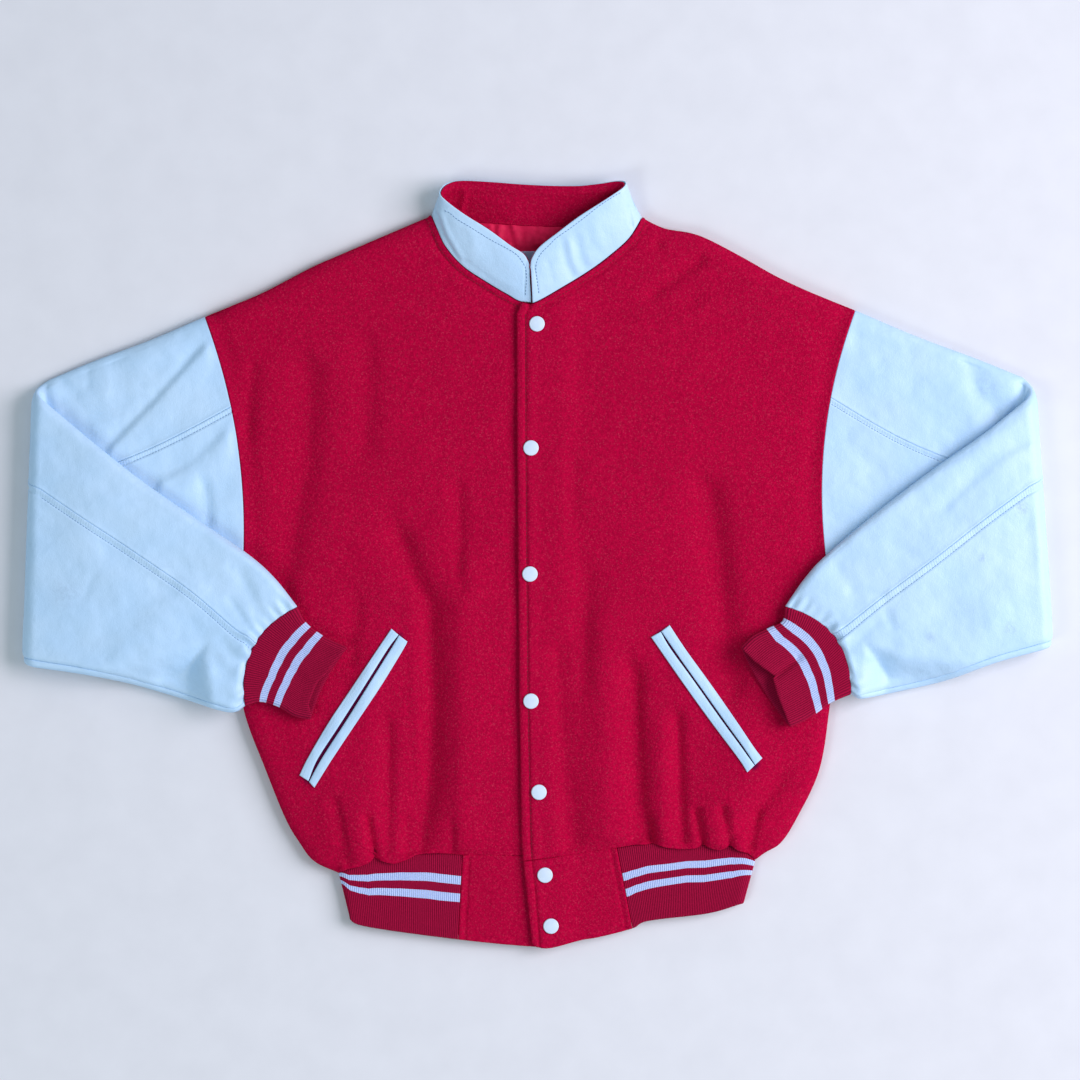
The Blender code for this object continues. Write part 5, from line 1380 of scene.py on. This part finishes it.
def collar_surface(first_share):
    """Middle points of the collar's leather from its seam to its edge, their normals, and each
    column's place along the neckline. It starts a share `first_share` of its height up."""
    rows, ends = np.array(COLLAR), np.array(EDGE_LINES) / ROW_LENGTH
    where = lines(len(rows) - 1.0, ends, ends, 1.0 / COLLAR_COLUMNS)
    place, edge_x, edge_y, edge_z, bulge = through(rows, where).T
    place = np.clip(place, 0.0, 1.0)
    loop = neck_loop()
    seam_plan = along(loop, place * lengths(loop)[-1])
    edge = np.stack([edge_x, edge_y, edge_z], axis=1)
    behind = smooth_step((place - NECK_POINTS[0] + 0.01) / 0.02)
    behind = behind * smooth_step((NECK_POINTS[1] + 0.01 - place) / 0.02)
    height = behind * body_height(seam_plan, -1) + (1 - behind) * body_height(seam_plan, 1)
    height = height + np.where(place > NECK_POINTS[1], lap_lift(seam_plan), 0.0)
    rise = unit(edge[:, :2] - seam_plan)
    across = level_across(seam_plan, (0.0, 300.0))[:, :2]
    slant = np.maximum(np.abs((rise * across).sum(-1, keepdims=True)), 0.45)
    seam_plan = seam_plan + NECK_INSET / slant * rise
    seam = with_height(seam_plan, height + 0.6 + 0.6 * behind)
    share = (first_share + (1 - first_share) * shares(COLLAR_HEIGHT, 2.4))[:, None]
    straight = seam + share[..., None] * (edge - seam)
    normals = facing_up(grid_normals(straight, 1.0), 40)
    points = straight + (4 * share * (1 - share) * bulge)[..., None] * normals
    return points, normals, place


def eased(grid, place, reach=9):
    """A grid with each point near the shoulders' neck ends replaced by the mean of its
    neighbours along the row. An offset surface would cross itself in those tight turns."""
    wide = np.pad(grid, [(0, 0), (reach, reach), (0, 0)], "edge")
    mean = sum(wide[:, k:k + grid.shape[1]] for k in range(2 * reach + 1)) / (2 * reach + 1)
    near = sum(np.exp(-((place - at) / 0.025) ** 4) for at in NECK_POINTS)[None, :, None]
    return grid + near * (mean - grid)


def add_collar():
    """The stand collar's two faces, each sewn near its edge."""
    points, normals, _ = collar_surface(0.0)
    edge = edge_distance(points)
    relief = creases(points, COLLAR_CREASES) * smooth_step(edge / 6.0)
    lift = relief + groove(edge, 7.0, 0.4, 0.9)
    lift += 0.14 * soft_waves(points, 24.0, 31) * smooth_step(edge / 8.0)
    add_wall("collar_outer", points, normals, COLLAR_LEATHER, leather, lift=lift)
    points, normals, place = collar_surface(INNER_START)
    inward = COLLAR_LEATHER / 2 + LAYER + COLLAR_WOOL / 2
    run = line_lengths(points, 0)
    edge = edge_distance(points)
    lift = np.minimum(creases(points, COLLAR_CREASES) * smooth_step(edge / 6.0), 0.0)
    lift += groove(run[-1] - run, 8.5, 1.2, 1.5) + creases(points, INNER_CREASES) - 0.2
    points = eased(points + normals * (lift - inward)[..., None], place)
    add_wall("collar_inner", points, unit(eased(normals, place)), COLLAR_WOOL, wool)


add_collar()

# %% [markdown]
# ## Inside the neck
# Satin lines the body, and the little that shows below the collar is one wall on the back,
# with the small wrinkles that a slack lining makes. The label is a plain woven tape.

# %% Lining and label
DROP_HEIGHT = 200.0                         # from which points are dropped onto a piece


def seat(names, plan):
    """Height and normal of the upper face of some pieces below each plan point."""
    trees = [BVHTree.FromPolygons([v.co / MM for v in pieces[name].data.vertices],
                                  [tuple(p.vertices) for p in pieces[name].data.polygons])
             for name in names]
    found = []
    for x, y in np.reshape(plan, (-1, 2)):
        hits = [tree.ray_cast(Vector((x, y, DROP_HEIGHT)), Vector((0, 0, -1))) for tree in trees]
        hits = [hit for hit in hits if hit[0] is not None]
        best = max(hits, key=lambda hit: hit[0].z)
        found.append((best[0].z, *best[1]))
    found = np.array(found)
    shape = np.shape(plan)[:-1]
    return found[:, 0].reshape(shape), found[:, 1:].reshape(*shape, 3)


def add_patch(name, foot, top, above, finish, wrinkles, step):
    """A patch between a foot path and a top path that lies on the inside of the back."""
    width, depth = lengths(np.array(foot, float))[-1], top[0][1] - foot[0][1]
    across = lines(width, EDGE_LINES, EDGE_LINES, step) / width
    up = lines(depth, EDGE_LINES, EDGE_LINES, step) / depth
    foot, top = (along(path, across * lengths(np.array(path, float))[-1]) for path in (foot, top))
    plan = foot[:, None] + up[None, :, None] * (top - foot)[:, None]
    points = with_height(plan, WOOL + above + np.zeros(plan.shape[:2]))
    return add_wall(name, points, grid_normals(points, 1.0), SATIN, finish,
                    lift=wrinkles(plan))


def lining_wrinkles(plan):
    """Folds that run down from the collar and fade below it, where the label lies."""
    x, y = plan[..., 0], plan[..., 1]
    strength = smooth_step((y - 313.0) / 8.0) * smooth_step((345.0 - y) / 10.0)
    folds = soft_waves(plan * [1.0, 0.3], 9.0, 41)
    return strength * np.maximum(1.0 + 0.9 * folds, 0.0) * smooth_step((60 - np.abs(x)) / 20)


lining_top = rounded(BACK_NECKLINE) - [0.0, 0.9]
lining_top = lining_top[np.abs(lining_top[:, 0]) < 73.0]
add_patch("neck_lining", [(-62, 284), (62, 284)], lining_top, LAYER + SATIN / 2,
          satin, lining_wrinkles, 1.6)
add_patch("neck_label", [(-32, 288), (24, 288)], [(-32, 312.5), (24, 312.5)],
          2 * LAYER + 1.5 * SATIN, tape, lambda plan: 0.0 * plan[..., 0], 2.4)

# %% [markdown]
# ## Pockets
# Each slanted pocket mouth is bound with two leather welts that lie side by side and meet at
# both ends, where the mouth between them closes. Each is a strip between its sewn edge and its
# edge at the mouth, both from the top end down. The welts lie on the front, so their heights
# are found by dropping points onto it.

# %% Welts
WELTS = {  # the sewn edge, then the edge at the mouth
    "welt_right_outer": (
        [(-145.0, -65.1), (-159.5, -86.5), (-183.5, -122.5), (-207.5, -158.5), (-228.5, -194.5),
         (-236.8, -211.5)],
        [(-137.9, -71.3), (-149.5, -86.5), (-172.5, -122.5), (-195.5, -158.5), (-218.5, -194.5),
         (-227.9, -217.3)]),
    "welt_right_inner": (
        [(-129.0, -78.0), (-133.5, -86.5), (-155.5, -122.5), (-179.5, -158.5), (-203.5, -194.5),
         (-222.0, -224.0)],
        [(-137.3, -71.8), (-146.0, -86.5), (-168.0, -122.5), (-190.5, -158.5), (-214.0, -194.5),
         (-227.2, -217.9)]),
    "welt_left_inner": (
        [(114.5, -73.5), (123.5, -86.5), (148.5, -122.5), (174.5, -158.5), (201.5, -194.5),
         (210.5, -208.5)],
        [(124.1, -68.2), (134.5, -86.5), (160.0, -122.5), (185.5, -158.5), (203.5, -182.5),
         (217.8, -201.6)]),
    "welt_left_outer": (
        [(133.0, -61.5), (149.5, -86.5), (175.5, -122.5), (200.5, -158.5), (216.5, -182.5),
         (225.5, -194.5)],
        [(124.7, -67.8), (138.0, -86.5), (164.0, -122.5), (189.5, -158.5), (206.5, -182.5),
         (218.3, -201.1)]),
}
WELT_WIDTH, WELT_LENGTH, REST_GAP = 10.0, 170.0, 0.2
MOUTH_OVERLAP = {"right": 0.5, "left": 0.7}  # by how much a welt rolls over the mouth


def add_welt(name, edges):
    """One welt: a strip between two edges, slightly domed across and turned in at the mouth."""
    side_name = name.split("_")[1]
    down, across = shares(WELT_LENGTH, 2.4), shares(WELT_WIDTH, 1.2, (0, 0.3, 0.8))
    sewn, mouth = (along(path, down * lengths(path)[-1]) for path in map(rounded, edges))
    rolled = MOUTH_OVERLAP[side_name] * smooth_step(4 * down * (1 - down))[:, None]
    mouth = mouth + rolled * unit(mouth - sewn)
    plan = sewn[:, None] + across[None, :, None] * (mouth - sewn)[:, None]
    height, _ = seat([f"front_{side_name}"], plan)
    points = with_height(plan, height + REST_GAP + LEATHER / 2)
    normals = facing_up(grid_normals(points, 1.0))
    dome = 0.4 * (1 - (2 * across - 1) ** 2) + groove(across * WELT_WIDTH, 1.8, 0.3, 0.6)
    return add_wall(name, points, normals, LEATHER, leather, lift=dome * np.ones((len(down), 1)))


for name, edges in WELTS.items():
    add_welt(name, edges)

# %% [markdown]
# ## Snaps
# A snap cap is pressed from sheet and enamelled: a flat dome with a rolled rim. It is turned
# about its axis, so a profile of a few radii and heights is carried round a circle.

# %% Snaps
SNAPS = [(0.5, 239.5), (-5.5, 115.5), (-6.5, -10.5), (-5.5, -137.5), (2.5, -228.5),
         (8.5, -311.5), (14.5, -362.5)]
SNAP_RADIUS, SNAP_HEIGHT, SNAP_SIDES = 7.7, 2.2, 48
SNAP_PROFILE = np.array([(0.02, 0.0), (0.80, 0.0), (0.93, 0.02), (0.99, 0.12), (1.0, 0.3),
                         (0.98, 0.55), (0.93, 0.72), (0.86, 0.78), (0.80, 0.76), (0.74, 0.8),
                         (0.55, 0.92), (0.3, 0.98), (0.02, 1.0)])
SNAP_RESTS = 6.0 * np.array([(0, 0), (1, 0), (-1, 0), (0, 1), (0, -1)])     # on the cloth


def barrel(numbers):
    """Faces of a tube, from its rings of corner numbers."""
    ring = np.hstack([numbers, numbers[:, :1]])
    return np.stack([ring[:-1, :-1], ring[:-1, 1:], ring[1:, 1:], ring[1:, :-1]], -1).reshape(-1, 4)


def add_snap(number, x, y):
    """One cap. Its first and last rings are tiny and close on themselves as one face each."""
    height, _ = seat(["front_left", "waistband_block_left"], SNAP_RESTS + (x, y))
    turn = np.linspace(0, 2 * np.pi, SNAP_SIDES, endpoint=False)
    radius, rise = SNAP_PROFILE.T
    corners = np.stack([x + SNAP_RADIUS * radius[:, None] * np.cos(turn),
                        y + SNAP_RADIUS * radius[:, None] * np.sin(turn),
                        height.max() + REST_GAP + SNAP_HEIGHT * rise[:, None] + 0 * turn], -1)
    numbers = np.arange(corners[..., 0].size).reshape(len(radius), -1)
    half = SNAP_SIDES // 2
    faces = [barrel(numbers)]
    for row, step in ((numbers[0], -1), (numbers[-1], 1)):
        a, b = row[:half], row[::-1][:half]
        faces.append(np.stack([a[:-1], a[1:], b[1:], b[:-1]], -1)[:, ::step])
    return add_mesh(f"snap_{number}", corners.reshape(-1, 3), np.vstack(faces), enamel)


for number, (x, y) in enumerate(SNAPS, start=1):
    add_snap(number, x, y)

# %% [markdown]
# ## Sewing
# A row of stitches is a row of small capsules, each lying along the seam and half sunk in the
# cloth. One capsule is worked out once and copied by arrays to every place, which keeps a
# thousand stitches in a few meshes.

# %% Stitches
STITCH_LENGTH, STITCH_WIDTH, STITCH_PITCH, STITCH_SIDES = 2.3, 0.7, 3.3, 6
STITCH_RISE = 0.12                          # of its middle above the cloth


def capsule():
    """Corners (along, across, up) and faces of one stitch."""
    turn = np.linspace(0, 2 * np.pi, STITCH_SIDES, endpoint=False)
    ends = np.array([-1.0, -0.7, 0.7, 1.0]) * STITCH_LENGTH / 2
    radius = np.array([0.5, 1.0, 1.0, 0.5]) * STITCH_WIDTH / 2
    corners = np.stack([np.repeat(ends, STITCH_SIDES), np.outer(radius, np.cos(turn)).ravel(),
                        np.outer(radius, np.sin(turn)).ravel()], 1)
    numbers = np.arange(len(corners)).reshape(len(ends), -1)
    first, last = numbers[0], numbers[-1]
    caps = [first[[0, 3, 2, 1]], first[[0, 5, 4, 3]], last[[0, 1, 2, 3]], last[[0, 3, 4, 5]]]
    return corners, np.vstack([barrel(numbers), caps])


def add_stitches(name, paths, on, thread):
    """Stitches along plan paths, each seated on the upper face of the pieces in `on`."""
    shape, shape_faces = capsule()
    corners, faces, count = [], [], 0
    for path in paths:
        path = rounded(path)
        middle = along(path, np.arange(STITCH_PITCH, lengths(path)[-1] - 1.0, STITCH_PITCH))
        ahead = tangents(middle, 0)
        height, normal = seat(on, middle)
        centre = with_height(middle, height + STITCH_RISE)
        along_stitch = square_to(np.hstack([ahead, np.zeros((len(ahead), 1))]), normal)
        frame_of = np.stack([along_stitch, np.cross(normal, along_stitch), normal], axis=1)
        corners.append((centre[:, None] + shape @ frame_of).reshape(-1, 3))
        first = count + len(shape) * np.arange(len(middle))
        faces.append((first[:, None, None] + shape_faces).reshape(-1, 4))
        count += len(shape) * len(middle)
    return add_mesh(name, np.vstack(corners), np.vstack(faces), thread)


def beside(path, distance, toward):
    """A path moved sideways by a distance, to the side of a point."""
    path = rounded(path)
    return path + distance * level_across(path, toward)[:, :2]


COLLAR_ROWS = {
    "right": [(-93.9, 352.8), (-86.9, 350.0), (-78.4, 343.0), (-64.4, 334.6), (-46.2, 323.3),
              (-27.9, 313.5), (-19.5, 307.9), (-13.9, 300.9), (-10.6, 293.5), (-9.9, 284.0),
              (-10.6, 274.2), (-11.2, 265.0)],
    "left": [(85.7, 371.1), (80.1, 368.2), (74.5, 364.7), (61.9, 356.3), (47.8, 345.1),
             (33.8, 334.6), (19.8, 324.7), (12.8, 317.7), (5.7, 310.7), (1.2, 303.5),
             (-0.6, 295.3), (0.1, 286.9), (1.4, 277.0), (2.9, 268.0)],
}
placket_edge = np.array([(-13.6, -296.0), (-17.5, -136.5), (-19.5, 113.5), (-19.8, 250.0)])
placket_row = placket_edge + [PLACKET_STITCH, 0.0]
neck_rows = [beside(body["neckline"][1:], NECK_STITCH, (300.0 * body["side"], 0.0))
             for body in BODY.values()]
add_stitches("stitching_collar", COLLAR_ROWS.values(), ["collar_outer"], white_thread_painted_shade)
add_stitches("stitching_placket", [placket_row], ["front_left"], red_thread)
add_stitches("stitching_neck", neck_rows, ["front_right", "front_left"], red_thread)
for name, row in seam_rows.items():
    add_stitches(f"stitching_{name}", [row], [name], white_thread_painted_shade)

for name, piece in list(pieces.items()):
    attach(piece, "root")
    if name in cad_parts:
        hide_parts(name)
    elif "collar" in name or "sleeve" in name:
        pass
    else:
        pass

# %% [markdown]
# ## Floor, light and camera
# A pale floor and soft light from above, a little stronger from the wearer's left, show the
# folds without hard shadows. A long lens far above keeps the flat jacket free of perspective.

# %% Floor
FLOOR_SIZE, FLOOR_HEIGHT = 8.0, -0.0005
floor_mesh = bpy.data.meshes.new("floor")
floor_mesh.from_pydata([(x * FLOOR_SIZE / 2, y * FLOOR_SIZE / 2, FLOOR_HEIGHT)
                        for x, y in ((-1, -1), (1, -1), (1, 1), (-1, 1))], [], [(0, 1, 2, 3)])
floor = bpy.data.objects.new("floor", floor_mesh)
bpy.context.scene.collection.objects.link(floor)
floor_mesh.materials.append(plain_weave("pale_paper", ("#DFE1E6", "#E3E5EA"), 40.0, 0.02,
                                        {"Roughness": 0.9}))


# %% Light
def add_light(name, place, size, power, tint):
    """A square soft box that faces the middle of the jacket."""
    light = bpy.data.lights.new(name, "AREA")
    light.size, light.energy, light.color = size, power, tint
    box = bpy.data.objects.new(name, light)
    box.location = place
    box.rotation_euler = (-Vector(place)).to_track_quat("-Z", "Y").to_euler()
    bpy.context.scene.collection.objects.link(box)


add_light("key", (3.0, 0.4, 2.4), 2.8, 165.0, (0.96, 0.90, 1.0))
add_light("fill", (-2.2, -2.0, 3.2), 1.6, 42.0, (0.86, 0.96, 1.0))
world = bpy.data.worlds.new("soft_studio")
world.use_nodes = True
sky = world.node_tree.nodes["Background"].inputs
sky["Color"].default_value, sky["Strength"].default_value = (0.79, 0.93, 1.0, 1.0), 0.34
bpy.context.scene.world = world
bpy.context.scene.view_settings.view_transform = "Standard"

# %% Camera
LENS, SENSOR, FRAME_WIDTH = 300.0, 36.0, 1.080
CENTRE = (0.0035, 0.0235, 0.012)
camera = bpy.data.cameras.new("camera")
camera.lens, camera.sensor_width = LENS, SENSOR
camera_object = bpy.data.objects.new("camera", camera)
camera_object.location = (CENTRE[0], CENTRE[1], CENTRE[2] + FRAME_WIDTH * LENS / SENSOR)
camera.clip_end = 40.0
bpy.context.scene.collection.objects.link(camera_object)
bpy.context.scene.camera = camera_object

# %% Sizes, and the end
print("triangles added:", sum(2 * len(piece.data.polygons) for piece in pieces.values()))
